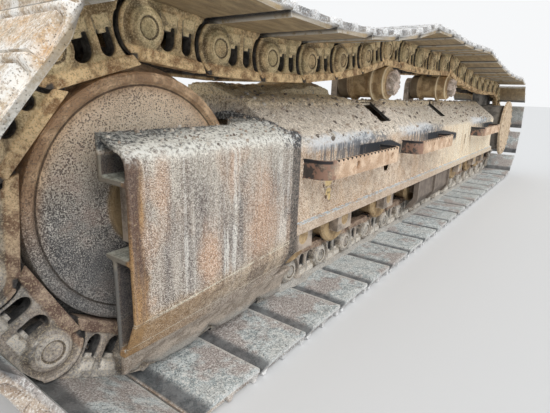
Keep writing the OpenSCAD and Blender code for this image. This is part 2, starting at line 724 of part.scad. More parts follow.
// Carrier rollers on stands that rise from the roof's inboard slope
carriers = [carrier_front, carrier_rear];
stand_y = [-156, -124];
stand_land = 26;
module carrier_roller(i) {
    d = carriers[i];
    rim_r = carrier_r + 9;
    color("peru")
    turned_on(idler_x - d, carrier_z(d))
        polygon([[0, stand_y[0]], [carrier_shaft_r, stand_y[0]], [carrier_shaft_r, -chain_half + 4],
            [carrier_r - 8, -chain_half + 4], [carrier_r, -chain_half + 12], [carrier_r, -link_inner_y + 6],
            [rim_r, -link_inner_y + 14], [rim_r, -link_inner_y + 24], [carrier_r - 6, -link_inner_y + 34],
            [carrier_r - 6, link_inner_y - 34], [rim_r, link_inner_y - 24], [rim_r, link_inner_y - 14],
            [carrier_r, link_inner_y - 6], [carrier_r, chain_half - 12], [carrier_r - 8, chain_half - 4],
            [carrier_r - 22, chain_half - 4], [carrier_r - 22, chain_half + 10], [0, chain_half + 10]]);
}
module carrier_stand(i) {
    x = idler_x - carriers[i];
    z = carrier_z(carriers[i]);
    reach = carrier_shaft_r + stand_land;
    color("dimgray")
    difference() {
        across(stand_y[0], stand_y[1]) union() {
            translate([x, z]) circle(reach);
            translate([x - reach, shoulder_z]) square([2 * reach, z - shoulder_z]);
        }
        translate([x, 0, z]) rotate([90, 0, 0])
            cylinder(h = 4 * chain_half, r = carrier_shaft_r + bore_clearance, center = true);
        along(x - 2 * reach, x + 2 * reach) frame_section();
    }
}

// Chain guards: folded plates that hang from the bottom flange beside the chain, with ribs outside
guard_ribs = 3;
guard_rib_reach = 14;
guard_foot_reach = 16;
guard_slope = 60;
guard_y = flange_y - 16;
guard_low_y = chain_half + 26;
module chain_guard() {
    back = guard_y - guard_plate;
    face = guard_y + guard_rib_reach;
    fold_z = guard_bottom + guard_slope;
    foot_z = guard_bottom + guard_plate;
    foot_y = guard_low_y + 2 * guard_plate;
    color("dimgray") {
        along(idler_x - guard_front - guard_length, idler_x - guard_front)
            polygon([[guard_y, frame_bottom], [guard_y, fold_z], [guard_low_y + guard_plate, guard_bottom],
                [guard_low_y, guard_bottom], [back, fold_z + guard_plate / 2], [back, frame_bottom]]);
        for (k = [0:guard_ribs - 1]) {
            rib_x = idler_x - guard_front - k * (guard_length - guard_plate) / (guard_ribs - 1);
            along(rib_x - guard_plate, rib_x)
                polygon([[back, frame_bottom], [back, fold_z + 2], [foot_y, foot_z],
                    [foot_y + guard_foot_reach, foot_z], [face, fold_z], [face, frame_bottom]]);
        }
    }
}
module chain_guard_outer() { chain_guard(); }
module chain_guard_inner() { mirror([0, 1, 0]) chain_guard(); }

// Final drive
gap_r = bushing_r + tooth_play;
sprocket_phase = 270 - (lower_count - ground_links) * sprocket_step;
tip_r = sprocket_pin_r + tooth_height;
half_tip = 1.6;
function tooth_gap(a) = concat(
    [let (b = a - sprocket_step / 4 + half_tip) tip_r * [cos(b), sin(b)]],
    [for (c = [-90:30:90]) turned([sprocket_pin_r - gap_r * cos(c), gap_r * sin(c)], a)],
    [let (b = a + sprocket_step / 4 - half_tip) tip_r * [cos(b), sin(b)]]);
module sprocket() {
    color("saddlebrown")
    across(-sprocket_width / 2, sprocket_width / 2) translate([sprocket_x, sprocket_z]) difference() {
        polygon([for (i = [0:sprocket_teeth - 1]) each tooth_gap(sprocket_phase + i * sprocket_step / 2)]);
        circle(drum_r + bore_clearance);
    }
}
module drive_hub() {
    seat = -sprocket_width / 2;
    color("dimgray")
    turned_on(sprocket_x, sprocket_z)
        polygon([[0, bracket_face_y], [drum_r - 30, bracket_face_y], [drum_r - 30, seat - 20],
            [drum_r + 45, seat - 20], [drum_r + 45, seat], [drum_r, seat], [drum_r, drum_y - 30],
            [drum_r - 30, drum_y], [0, drum_y]]);
}
module drive_cover() {
    color("peru")
    turned_on(sprocket_x, sprocket_z)
        polygon([[0, drum_y], [cover_r, drum_y], [cover_r, drum_y + cover - 6], [cover_r - 6, drum_y + cover],
            [0, drum_y + cover]]);
}
floor_top_z = floor_z + wall + seat_gap;
module drive_bracket() {
    color("dimgray")
    across(bracket_face_y - bracket_plate, bracket_face_y) union() {
        translate([sprocket_x, sprocket_z]) circle(bracket_ring_r);
        polygon([[sprocket_x, sprocket_z - bracket_ring_r + 20], [frame_rear_x - cut_over, floor_top_z],
            [end_plate_x, floor_top_z], [end_plate_x, shoulder_z + 40],
            [sprocket_x, sprocket_z + bracket_ring_r - 20]]);
    }
}
module travel_motor() {
    back = bracket_face_y - bracket_plate;
    color("dimgray")
    turned_on(sprocket_x, sprocket_z)
        polygon([[0, back], [0, -motor_y], [motor_r - 40, -motor_y], [motor_r - 22, -motor_y + 18],
            [motor_r - 22, -motor_y + 90], [motor_r, -motor_y + 110], [motor_r, back]]);
}

// Mounting pads: boxes welded to the inboard wall, each with a drilled flange
module pad(x) {
    box = pad_hole_x - 4 * pad_hole_r;
    inner = -pad_y + pad_flange;
    middle_z = pad_bottom + pad_height / 2;
    color("tan")
    difference() {
        union() {
            across(-pad_y, inner)
                translate([x - pad_length / 2, pad_bottom]) square([pad_length, pad_height]);
            across(inner - cut_over, -wall_y)
                translate([x - box / 2, pad_bottom]) difference() {
                    square([box, pad_height]);
                    translate([pad_wall, pad_wall]) square([box - 2 * pad_wall, pad_height - 2 * pad_wall]);
                }
        }
        for (dx = [-1, 1], dz = [-1, 1])
            translate([x + dx * pad_hole_x / 2, 0, middle_z + dz * pad_hole_z / 2]) rotate([90, 0, 0])
                cylinder(h = 2 * pad_y, r = pad_hole_r);
    }
}
module pad_front() { pad(frame_middle_x + pad_offset); }
module pad_rear() { pad(frame_middle_x - pad_offset); }

track_shoes();
chain_outer();
chain_inner();
chain_bushings();
idler_wheel();
idler_shaft();
idler_block(1);  // idler_block_outer
idler_block(-1);  // idler_block_inner
idler_yoke();
nose_outer();
nose_inner();
cross_bar();
track_frame();
leg_seat();
step(0);  // step_front
step(1);  // step_middle
step(2);  // step_rear
track_roller(0);  // track_roller_1
track_roller(1);  // track_roller_2
track_roller(2);  // track_roller_3
track_roller(3);  // track_roller_4
track_roller(4);  // track_roller_5
track_roller(5);  // track_roller_6
track_roller(6);  // track_roller_7
track_roller(7);  // track_roller_8
roller_brackets();
carrier_roller(0);  // carrier_roller_front
carrier_roller(1);  // carrier_roller_rear
carrier_stand(0);  // carrier_stand_front
carrier_stand(1);  // carrier_stand_rear
chain_guard_outer();
chain_guard_inner();
sprocket();
drive_hub();
drive_cover();
drive_bracket();
travel_motor();
pad_front();
pad_rear();
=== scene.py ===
# Looks of one crawler track unit, in metres, around its packed construction.
import math
import random

import bmesh
import bpy
from mathutils import Matrix, Vector, noise
from mathutils.bvhtree import BVHTree
from mathutils.geometry import tessellate_polygon


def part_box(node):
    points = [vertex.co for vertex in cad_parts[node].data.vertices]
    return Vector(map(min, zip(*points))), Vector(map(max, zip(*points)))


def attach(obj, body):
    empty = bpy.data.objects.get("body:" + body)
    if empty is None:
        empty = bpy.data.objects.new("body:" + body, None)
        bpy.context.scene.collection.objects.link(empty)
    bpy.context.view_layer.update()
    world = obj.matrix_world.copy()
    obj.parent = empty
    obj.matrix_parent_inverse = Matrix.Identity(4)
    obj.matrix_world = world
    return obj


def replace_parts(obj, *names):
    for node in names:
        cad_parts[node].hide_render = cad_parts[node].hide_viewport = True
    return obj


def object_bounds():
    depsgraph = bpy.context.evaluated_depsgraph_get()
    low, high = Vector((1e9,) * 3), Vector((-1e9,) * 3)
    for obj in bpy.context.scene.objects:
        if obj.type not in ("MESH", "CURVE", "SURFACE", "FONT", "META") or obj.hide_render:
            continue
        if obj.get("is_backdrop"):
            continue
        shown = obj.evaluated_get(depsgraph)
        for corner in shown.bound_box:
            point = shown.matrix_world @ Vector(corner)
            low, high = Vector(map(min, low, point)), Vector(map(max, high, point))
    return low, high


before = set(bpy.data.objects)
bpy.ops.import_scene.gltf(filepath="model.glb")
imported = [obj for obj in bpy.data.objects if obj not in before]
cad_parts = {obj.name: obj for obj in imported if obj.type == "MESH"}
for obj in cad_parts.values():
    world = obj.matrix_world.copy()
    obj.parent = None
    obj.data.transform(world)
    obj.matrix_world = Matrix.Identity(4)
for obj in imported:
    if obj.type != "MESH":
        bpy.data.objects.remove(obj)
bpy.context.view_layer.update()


# Camera
# A wide lens close to the idler end, a little over the height of the track frame. It stands outboard
# and ahead of the nose and looks back along the unit, so the near shoes run out of the picture.
camera_place = (2.5594, 0.9015, 0.7219)
camera_yaw = math.radians(36.13)
camera_pitch = math.radians(15.245)
camera_roll = math.radians(1.97)
sensor_width = 36.0
focal_pixels = 420.77
picture_width = 550


def placed(name, data):
    """A new object in the scene."""
    thing = bpy.data.objects.new(name, data)
    bpy.context.scene.collection.objects.link(thing)
    return thing


level_ahead = Vector((-math.cos(camera_yaw), -math.sin(camera_yaw), 0))
level_right = Vector((-math.sin(camera_yaw), math.cos(camera_yaw), 0))
up = Vector((0, 0, 1))
ahead = math.cos(camera_pitch) * level_ahead - math.sin(camera_pitch) * up
tilted_up = math.sin(camera_pitch) * level_ahead + math.cos(camera_pitch) * up
right = math.cos(camera_roll) * level_right + math.sin(camera_roll) * tilted_up
top = math.cos(camera_roll) * tilted_up - math.sin(camera_roll) * level_right
camera = placed("camera", bpy.data.cameras.new("camera"))
camera.data.sensor_width = sensor_width
camera.data.lens = focal_pixels / picture_width * sensor_width
camera.data.clip_start = 0.02
camera.matrix_world = Matrix.Translation(camera_place) @ Matrix((right, top, -ahead)).transposed().to_4x4()
bpy.context.scene.camera = camera


# Studio
# A pale matt floor under a pale sky, with one large soft lamp from outboard and ahead. The sky's light
# and the lamp together show a colour about as it is written.
sky_strength = 0.72
lamp_strength = 1.8
lamp_angle = math.radians(40)
lamp_direction = Vector((-0.35, -0.62, -0.72))
floor_size = 60

bpy.context.scene.view_settings.view_transform = "Standard"
sky = bpy.data.worlds.new("sky")
sky.use_nodes = True
bpy.context.scene.world = sky
sky_nodes, connect = sky.node_tree.nodes, sky.node_tree.links.new
sky_light = sky_nodes["Background"]
sky_light.inputs["Color"].default_value = (0.97, 0.985, 1.0, 1)
sky_light.inputs["Strength"].default_value = sky_strength
sky_shown = sky_nodes.new("ShaderNodeBackground")
sky_shown.inputs["Color"].default_value = (0.93, 0.94, 0.95, 1)
sky_rays = sky_nodes.new("ShaderNodeLightPath")
sky_mix = sky_nodes.new("ShaderNodeMixShader")
connect(sky_rays.outputs["Is Camera Ray"], sky_mix.inputs[0])
connect(sky_light.outputs[0], sky_mix.inputs[1])
connect(sky_shown.outputs[0], sky_mix.inputs[2])
connect(sky_mix.outputs[0], sky_nodes["World Output"].inputs[0])

lamp = placed("lamp", bpy.data.lights.new("lamp", "SUN"))
lamp.data.energy = lamp_strength
lamp.data.angle = lamp_angle
lamp.data.color = (1.0, 0.985, 0.96)
lamp.rotation_mode = "QUATERNION"
lamp.rotation_quaternion = lamp_direction.to_track_quat("-Z", "Y")


def mesh_of(verts, faces):
    """A new mesh, with no material."""
    mesh = bpy.data.meshes.new("mesh")
    mesh.from_pydata(verts, [], faces)
    return mesh


corners = [(x * floor_size, y * floor_size, 0) for x, y in ((-1, -1), (1, -1), (1, 1), (-1, 1))]
floor = placed("floor", mesh_of(corners, [(0, 1, 2, 3)]))
floor_paint = bpy.data.materials.new("floor")
floor_paint.use_nodes = True
floor_look = floor_paint.node_tree.nodes["Principled BSDF"].inputs
floor_look["Base Color"].default_value = (0.7, 0.71, 0.72, 1)
floor_look["Roughness"].default_value = 0.95
floor.data.materials.append(floor_paint)
floor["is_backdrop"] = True


# Track shoes
# 47 rolled steel shoes with three lugs each, bolted to the links. The end towards the running side
# dips under its neighbour's edge. The lugs are worn bright, and soil and rust cake the rest.
class Wire:
    """A shader socket. Python's operators on it add Math nodes to its finish."""

    def __init__(self, finish, socket):
        self.finish, self.socket = finish, socket

    def __add__(self, other):
        return self.finish.math("ADD", self, other)

    def __sub__(self, other):
        return self.finish.math("SUBTRACT", self, other)

    def __rsub__(self, other):
        return self.finish.math("SUBTRACT", other, self)

    def __mul__(self, other):
        return self.finish.math("MULTIPLY", self, other)

    def __pow__(self, other):
        return self.finish.math("POWER", self, other)

    def __or__(self, other):
        """The larger of two values."""
        return self.finish.math("MAXIMUM", self, other)

    def __abs__(self):
        return self.finish.math("ABSOLUTE", self, 0.0)

    __radd__ = __add__
    __rmul__ = __mul__

    def over(self, low, high):
        """0 where this is under low, 1 where it is over high, and smooth between."""
        return self.finish.node("MapRange", {"interpolation_type": "SMOOTHSTEP"},
                                {"Value": self, "From Min": low, "From Max": high})

    def under(self, low, high):
        return 1 - self.over(low, high)

    def within(self, low, full, fading, high):
        """1 from full to fading, going down to 0 at low and at high."""
        return self.over(low, full) * self.under(fading, high)

    def sway(self, reach):
        """A noise as a shift to either side of 0."""
        return (self - 0.5) * reach

    def tones(self, low, high, first, second):
        """The first colour where this is under low, the second where it is over high."""
        return self.finish.blend(self.over(low, high), first, second)


class Finish:
    """A material written as sums of wires, whose colour is laid on coat by coat. node() adds any node
    that isn't a Math node."""

    def __init__(self, name):
        self.material = bpy.data.materials.new(name)
        self.material.use_nodes = True
        self.tree = self.material.node_tree
        self.shader = self.tree.nodes["Principled BSDF"]
        self.place = self.node("TexCoord", out="Object")

    def plug(self, socket, value):
        if isinstance(value, Wire):
            self.tree.links.new(value.socket, socket)
        elif socket.type == "RGBA":
            socket.default_value = (*value, 1)
        else:
            socket.default_value = value

    def node(self, kind, settings=(), sockets=(), out=0):
        made = self.tree.nodes.new("ShaderNode" + kind)
        for name, value in dict(settings).items():
            setattr(made, name, value)
        by_name = {s.name: s for s in reversed(made.inputs)} | {s.identifier: s for s in made.inputs}
        for name, value in dict(sockets).items():
            self.plug(by_name[name], value)
        return Wire(self, made.outputs[out])

    def math(self, operation, a, b):
        return self.node("Math", {"operation": operation}, {"Value": a, "Value_001": b})

    def axis(self, name):
        """One coordinate of the surface: X along the track, Y outboard, Z up."""
        return self.node("SeparateXYZ", (), {"Vector": self.place}, out=name)

    def upward(self):
        """1 where the piece's own surface faces up, -1 where it faces down."""
        return self.node("SeparateXYZ", (), {"Vector": self.node("TexCoord", out="Normal")}, out="Z")

    def sideways(self):
        """1 where the piece's own surface faces along the track, either way."""
        return abs(self.node("SeparateXYZ", (), {"Vector": self.node("TexCoord", out="Normal")}, out="X"))

    def mark(self, name):
        """A value stored with the mesh."""
        return self.node("Attribute", {"attribute_name": name}, out="Fac")

    def grain(self, scale, detail, rough, stretch=(1, 1, 1)):
        """Cloudy noise, mostly between 0.3 and 0.7, with its size as grains per metre."""
        place = self.node("VectorMath", {"operation": "MULTIPLY"}, {"Vector": self.place, "Vector_001": stretch})
        return self.node("TexNoise", (), {"Vector": place, "Scale": scale, "Detail": detail, "Roughness": rough})

    def cells(self, scale):
        """Distance from the middle of the nearest of many scattered spots."""
        return self.node("TexVoronoi", (), {"Vector": self.place, "Scale": scale})

    def blend(self, share, a, b):
        return self.node("Mix", {"data_type": "RGBA"}, {"Factor_Float": share, "A_Color": a, "B_Color": b}, out=2)

    def layered(self, colour, *layers):
        """A colour with layers of (share, tone) laid over it."""
        for share, tone in layers:
            colour = self.blend(share, colour, tone)
        return colour

    def coat(self, share, tone):
        """A tone laid over the colour so far, where its share is more than 0."""
        self.colour = self.blend(share, self.colour, tone)

    def edges(self, radius):
        """1 along outer and inner edges, and 0 on flat stretches."""
        rounded = self.node("Bevel", (), {"Radius": radius})
        flat = self.node("NewGeometry", out="Normal")
        return 1 - self.node("VectorMath", {"operation": "DOT_PRODUCT"},
                             {"Vector": rounded, "Vector_001": flat}, out="Value")

    def speckled(self, colour, pale, dark, scale, share):
        """The colour with pale and dark flecks, as sand and rust pits leave them."""
        sand = self.grain(scale, 2, 0.8)
        colour = self.blend(sand.over(0.53, 0.62) * share, colour, pale)
        return self.blend(sand.under(0.37, 0.47) * share, colour, dark)

    def near(self, value, place, width):
        """1 where the value is within a width of a place, fading out to 0 at twice the width."""
        return abs(value - place).under(width, 2 * width)

    def done(self, roughness, height, depth):
        """The material, with its height as a bump of a depth in metres."""
        bump = self.node("Bump", (), {"Height": height, "Distance": depth, "Strength": 1.0})
        for socket, value in (("Base Color", self.colour), ("Roughness", roughness), ("Normal", bump)):
            self.plug(self.shader.inputs[socket], value)
        return self.material


def made_object(name, mesh, material, smooth_angle=35, body="track_unit"):
    """A piece of the object, riding on a body, with edges sharper than an angle left sharp."""
    mesh.name = name
    mesh.shade_smooth()
    mesh.set_sharp_from_angle(angle=math.radians(smooth_angle))
    mesh.materials.clear()
    mesh.materials.append(material)
    piece = placed(name, mesh)
    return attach(piece, body)


def solid_mesh(verts, faces):
    """A mesh of those faces, with its normals turned outward."""
    mesh = mesh_of(verts, faces)
    work = bmesh.new()
    work.from_mesh(mesh)
    bmesh.ops.recalc_face_normals(work, faces=work.faces)
    work.to_mesh(mesh)
    work.free()
    return mesh


def joined(meshes):
    """One mesh of several, with no material."""
    verts, faces = [], []
    for mesh in meshes:
        start = len(verts)
        verts += [v.co.copy() for v in mesh.vertices]
        faces += [[start + i for i in polygon.vertices] for polygon in mesh.polygons]
    return mesh_of(verts, faces)


def prism(rings, low, high, along="Y"):
    """Closed solid between low and high along Y or Z: rings[0] is its outline, and the others its holes."""
    points = [p for ring in rings for p in ring]
    count = len(points)
    if along == "Y":
        verts = [(a, side, b) for side in (low, high) for a, b in points]
    else:
        verts = [(a, b, side) for side in (low, high) for a, b in points]
    caps = tessellate_polygon([[Vector((a, b, 0)) for a, b in ring] for ring in rings])
    faces = [tuple(t) for t in caps] + [tuple(i + count for i in t) for t in caps]
    start = 0
    for ring in rings:
        for i in range(len(ring)):
            a, b = start + i, start + (i + 1) % len(ring)
            faces.append((a, b, b + count, a + count))
        start += len(ring)
    return solid_mesh(verts, faces)


def wrapped(rings, count):
    """The faces between rings of so many points each, ring after ring."""
    return [(r * count + i, r * count + (i + 1) % count, (r + 1) * count + (i + 1) % count, (r + 1) * count + i)
            for r in range(rings - 1) for i in range(count)]


def rod(verts, rings, count):
    """Closed solid of rings of points, with a flat face at each end."""
    ends = [tuple(range(start, start + count)) for start in (0, (rings - 1) * count)]
    return solid_mesh(verts, wrapped(rings, count) + ends)


def round_arc(x, z, radius, start, end, steps):
    """Points on an arc, with its angles in degrees."""
    return [(x + radius * math.cos(math.radians(start + (end - start) * i / steps)),
             z + radius * math.sin(math.radians(start + (end - start) * i / steps))) for i in range(steps + 1)]


high_above = 2.0


def bushing_centres():
    """The pins of the chain as (x, z), in order round the loop from the idler's top to the rear."""
    groups, bushing_width = [], 0.07
    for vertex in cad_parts["chain_bushings"].data.vertices:
        spot = Vector((vertex.co.x, vertex.co.z))
        for group in groups:
            if (group[0] - spot).length < bushing_width:
                group.append(spot)
                break
        else:
            groups.append([spot])
    left = []
    for group in groups:
        corners = {(round(s.x, 4), round(s.y, 4)): s for s in group}.values()
        left.append(sum(corners, Vector((0, 0))) / len(corners))
    idler_low, idler_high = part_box("idler_wheel")
    over_idler = Vector(((idler_low.x + idler_high.x) / 2, high_above))
    ordered = [min(left, key=lambda c: (c - over_idler).length)]
    left.remove(ordered[0])
    behind = [c for c in left if c.x < ordered[0].x]
    ordered.append(min(behind, key=lambda c: (c - ordered[0]).length))
    left.remove(ordered[1])
    while left:
        ordered.append(min(left, key=lambda c: (c - ordered[-1]).length))
        left.remove(ordered[-1])
    return ordered


pins = bushing_centres()
link_places = []
for number, pin in enumerate(pins):
    following = pins[(number + 1) % len(pins)]
    middle, course = (pin + following) / 2, (following - pin).normalized()
    link_places.append(Matrix(((course.x, 0, -course.y, middle.x), (0, 1, 0, 0),
                               (course.y, 0, course.x, middle.y), (0, 0, 0, 1))))


def repeated(template, places, marks=(), flip=False):
    """Copies of one mesh at many places as one mesh. marks are functions of a template point, kept as
    values of the mesh, and each copy also gets a chance value of its own as its tone."""
    chance = random.Random(7)
    verts, faces, values, tones = [], [], {name: [] for name, _ in marks}, []
    local = [v.co.copy() for v in template.vertices]
    for place in places:
        start, tone = len(verts), chance.random()
        verts += [place @ p for p in local]
        for polygon in template.polygons:
            ring = [start + i for i in polygon.vertices]
            faces.append(ring[::-1] if flip else ring)
        for name, rule in marks:
            values[name] += [rule(p) for p in local]
        tones += [tone] * len(local)
    mesh = mesh_of(verts, faces)
    for name, column in [*values.items(), ("tone", tones)]:
        mesh.attributes.new(name, "FLOAT", "POINT").data.foreach_set("value", column)
    return mesh


pitch = 0.216
shoe_half_width = 0.3315
seat_z = -0.06
shoe_bottom_z = -0.072
lug_tip_z = -0.0957
lug_places = (-0.091, 0.0, 0.089)
lug_tip_r = 0.0065
lug_foot_half = 0.0135
dip_start = 0.058
dip_end = 0.099
dip = 0.0125
lip_x = -0.1085


def lug(x, foot_z):
    """Profile of one lug from its forward foot round its tip to its rear foot."""
    tip = round_arc(x, lug_tip_z + lug_tip_r, lug_tip_r, -15, -165, 5)
    return [(x + lug_foot_half + 0.004, foot_z), (x + lug_foot_half - 0.002, foot_z - 0.004), *tip,
            (x - lug_foot_half + 0.002, foot_z - 0.004), (x - lug_foot_half - 0.004, foot_z)]


def shoe_template():
    """One shoe: its profile drawn out over the width, a little thinner at the worn ends."""
    upper = [(lip_x, -0.002), (lip_x + 0.002, 0.0008), (lip_x + 0.007, 0.0008), (lip_x + 0.01, 0), (-0.05, 0),
             (0, 0), (dip_start - 0.006, 0), (dip_start + 0.004, -0.0015), (dip_end - 0.006, 0.001 - dip),
             (dip_end + 0.006, -0.001 - dip), (dip_end + 0.011, -0.005 - dip), (dip_end + 0.01, -0.01 - dip)]
    under = []
    for x, foot in zip(reversed(lug_places), (shoe_bottom_z - 0.006, shoe_bottom_z, shoe_bottom_z)):
        under += lug(x, foot)
    outline = [(x, seat_z + rise) for x, rise in upper] + under + [(lip_x - 0.0005, shoe_bottom_z + 0.002)]
    count = len(outline)
    steps = [-1, -0.994, -0.93, -0.8, -0.6, -0.4, -0.2, 0, 0.2, 0.4, 0.6, 0.8, 0.93, 0.994, 1]
    mid_z = (seat_z + shoe_bottom_z) / 2
    worn_end = 0.9
    verts = [(x, step * shoe_half_width, mid_z + (z - mid_z) * worn_end if abs(step) == 1 else z)
             for step in steps for x, z in outline]
    caps = tessellate_polygon([[Vector((x, z, 0)) for x, z in outline]])
    far_end = (len(steps) - 1) * count
    return solid_mesh(verts, wrapped(len(steps), count) + [tuple(t) for t in caps]
                      + [tuple(i + far_end for i in t) for t in caps])


bolt_rows = (-0.048, 0.012)
bolt_y = 0.097
bolt_r = 0.017
bolt_height = 0.014


def bolt_head(x, y, z):
    """A hexagon head hanging from z."""
    return prism([round_arc(x, y, bolt_r, 0, 300, 5)], z - bolt_height, z, along="Z")


def shoe_steel():
    f = Finish("shoe_steel")
    soil_side = f.mark("soil_side")
    trough = f.mark("across").over(0.058, 0.078)
    clouds = f.grain(30, 5, 0.62)
    broad = f.grain(7, 4, 0.6)
    pits = f.cells(210)
    crusts = f.grain(90, 5, 0.75)
    streaks = f.grain(40, 4, 0.6, (0.25, 1, 1))
    high_up = f.axis("Z").over(0.55, 0.8)
    inner = f.layered(
        clouds.tones(0.38, 0.62, (0.31, 0.37, 0.385), (0.6, 0.665, 0.675)),
        (broad.over(0.48, 0.58) * 0.85, (0.395, 0.32, 0.29)),
        (broad.under(0.38, 0.47) * 0.8, (0.54, 0.57, 0.56)))
    inner = f.layered(
        f.speckled(inner, (0.88, 0.88, 0.86), (0.085, 0.088, 0.09), 240, 0.75),
        (crusts.over(0.54, 0.61) * broad.under(0.5, 0.6) * 0.8, (0.82, 0.81, 0.78)),
        (crusts.under(0.36, 0.43) * 0.7, (0.15, 0.145, 0.14)))
    # Painted shade under the top run: the run's inner faces are painted a dark, streaky olive-brown.
    top_run_shade = streaks.tones(0.36, 0.64, (0.24, 0.165, 0.075), (0.4, 0.285, 0.14))
    inner = f.layered(
        inner,
        (high_up * 0.94, top_run_shade),
        # Painted shade in the seam under the neighbouring shoe's lip: the trough is painted dark blue-grey.
        (trough * (1 - high_up * 0.2) * 0.9, clouds.tones(0.4, 0.6, (0.05, 0.058, 0.068), (0.13, 0.14, 0.15))),
        (f.mark("lip") * clouds.over(0.34, 0.5) * 0.7, (0.62, 0.61, 0.57)))
    near_end = f.axis("X").over(1.75, 2.05)
    outer = f.layered(
        clouds.tones(0.36, 0.6, (0.58, 0.6, 0.62), (0.88, 0.89, 0.9)),
        ((1 - f.mark("lug")) * 0.65, (0.29, 0.29, 0.28)),
        (f.mark("packed") * 0.9, clouds.tones(0.4, 0.6, (0.13, 0.135, 0.145), (0.3, 0.3, 0.3))))
    caked = f.layered(
        clouds.tones(0.4, 0.57, (0.6, 0.475, 0.33), (1.0, 0.97, 0.91)),
        (broad.over(0.47, 0.6) * clouds.over(0.4, 0.55) * 0.9, (0.66, 0.4, 0.16)),
        (f.axis("Z").under(0.35, 0.6) * 0.8, clouds.tones(0.38, 0.6, (0.36, 0.255, 0.185), (0.6, 0.52, 0.44))))
    outer = f.blend(near_end, outer, caked)
    outer = f.speckled(outer, (0.97, 0.97, 0.95), (0.33, 0.24, 0.18), 220, 0.65)
    # Painted shade at each seam: the lip's end face on the top run is painted near-black.
    outer = f.blend(f.mark("brow") * high_up * 0.9, outer, (0.05, 0.048, 0.045))
    f.colour = f.blend(soil_side, inner, outer)
    f.coat(pits.under(0.08, 0.2) * 0.5, (0.09, 0.075, 0.06))
    f.coat(f.edges(0.004).over(0.02, 0.25) * (1 - trough) * 0.6, (0.66, 0.66, 0.64))
    f.coat(f.mark("tone") * 0.22, (0.33, 0.31, 0.28))
    height = clouds * 0.8 + broad - pits.under(0.05, 0.25) * 0.4
    return f.done(0.66 + clouds * 0.28, height, 0.004)


soil_half_width = 0.322
soil_gap = 0.012


def packed_soil():
    """Dried soil left between the lugs of a shoe, a little short of its ends and of the lugs' tips."""
    fillings = []
    for before, after in zip(lug_places, lug_places[1:]):
        low, high, side = before + soil_gap, after - soil_gap, soil_half_width
        fillings.append(prism([[(low, -side), (high, -side), (high, side), (low, side)]],
                              shoe_bottom_z - 0.02, shoe_bottom_z + 0.003, along="Z"))
    return fillings


bolt_heads = [bolt_head(x, y, shoe_bottom_z) for x in bolt_rows for y in (-bolt_y, bolt_y)]
shoe_mesh = joined([shoe_template()] + packed_soil() + bolt_heads)


def clamped(value):
    return min(1.0, max(0.0, value))


def above_dip(p):
    """True for a point of the shoe's upper side, over the sloping line of its dip."""
    drop = dip * clamped((p.x - dip_start) / (dip_end - dip_start))
    return p.z > seat_z - drop - 0.0045


shoe_marks = (
    ("soil_side", lambda p: 0.0 if above_dip(p) else 1.0),
    ("lug", lambda p: 1.0 if p.z < shoe_bottom_z - 0.007 or p.z > shoe_bottom_z + 0.001 else 0.0),
    ("brow", lambda p: 1.0 if p.x < lip_x + 0.001 and p.z > shoe_bottom_z - 0.001 else 0.0),
    ("packed", lambda p: 1.0 if abs(abs(p.y) - soil_half_width) < 0.0001 else 0.0),
    ("across", lambda p: p.x),
    ("lip", lambda p: 1.0 if p.x < lip_x + 0.008 and above_dip(p) else 0.0))
shoes = made_object("shoes", repeated(shoe_mesh, link_places, shoe_marks), shoe_steel())
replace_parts(shoes, "track_shoes")


# Chain links
# Each link is one drop forging. Its outboard eye holds the pin, ringed by a raised boss, and its tail
# runs inboard behind the next link's eye to the bushing. Two windows let the shoe's nuts be turned.
link_face = 0.124
link_back = 0.072
eye_r = 0.067
eye_gap = 0.0085
eye_face = 0.114
web_face = 0.109
split_y = 0.094
rail_z = 0.066
half_pitch = pitch / 2
windows = ((-0.047, 0.046), (0.01, 0.033))
window_low = -0.038
window_high = 0.036
nut_top = -0.008
nut_back = 0.078
stud_r = 0.013


def window_outline(x, width):
    """A window of the link, with a flat foot and a round top."""
    return [(x - width / 2, window_low), *round_arc(x, window_high - width / 2, width / 2, 180, 0, 8),
            (x + width / 2, window_low)]


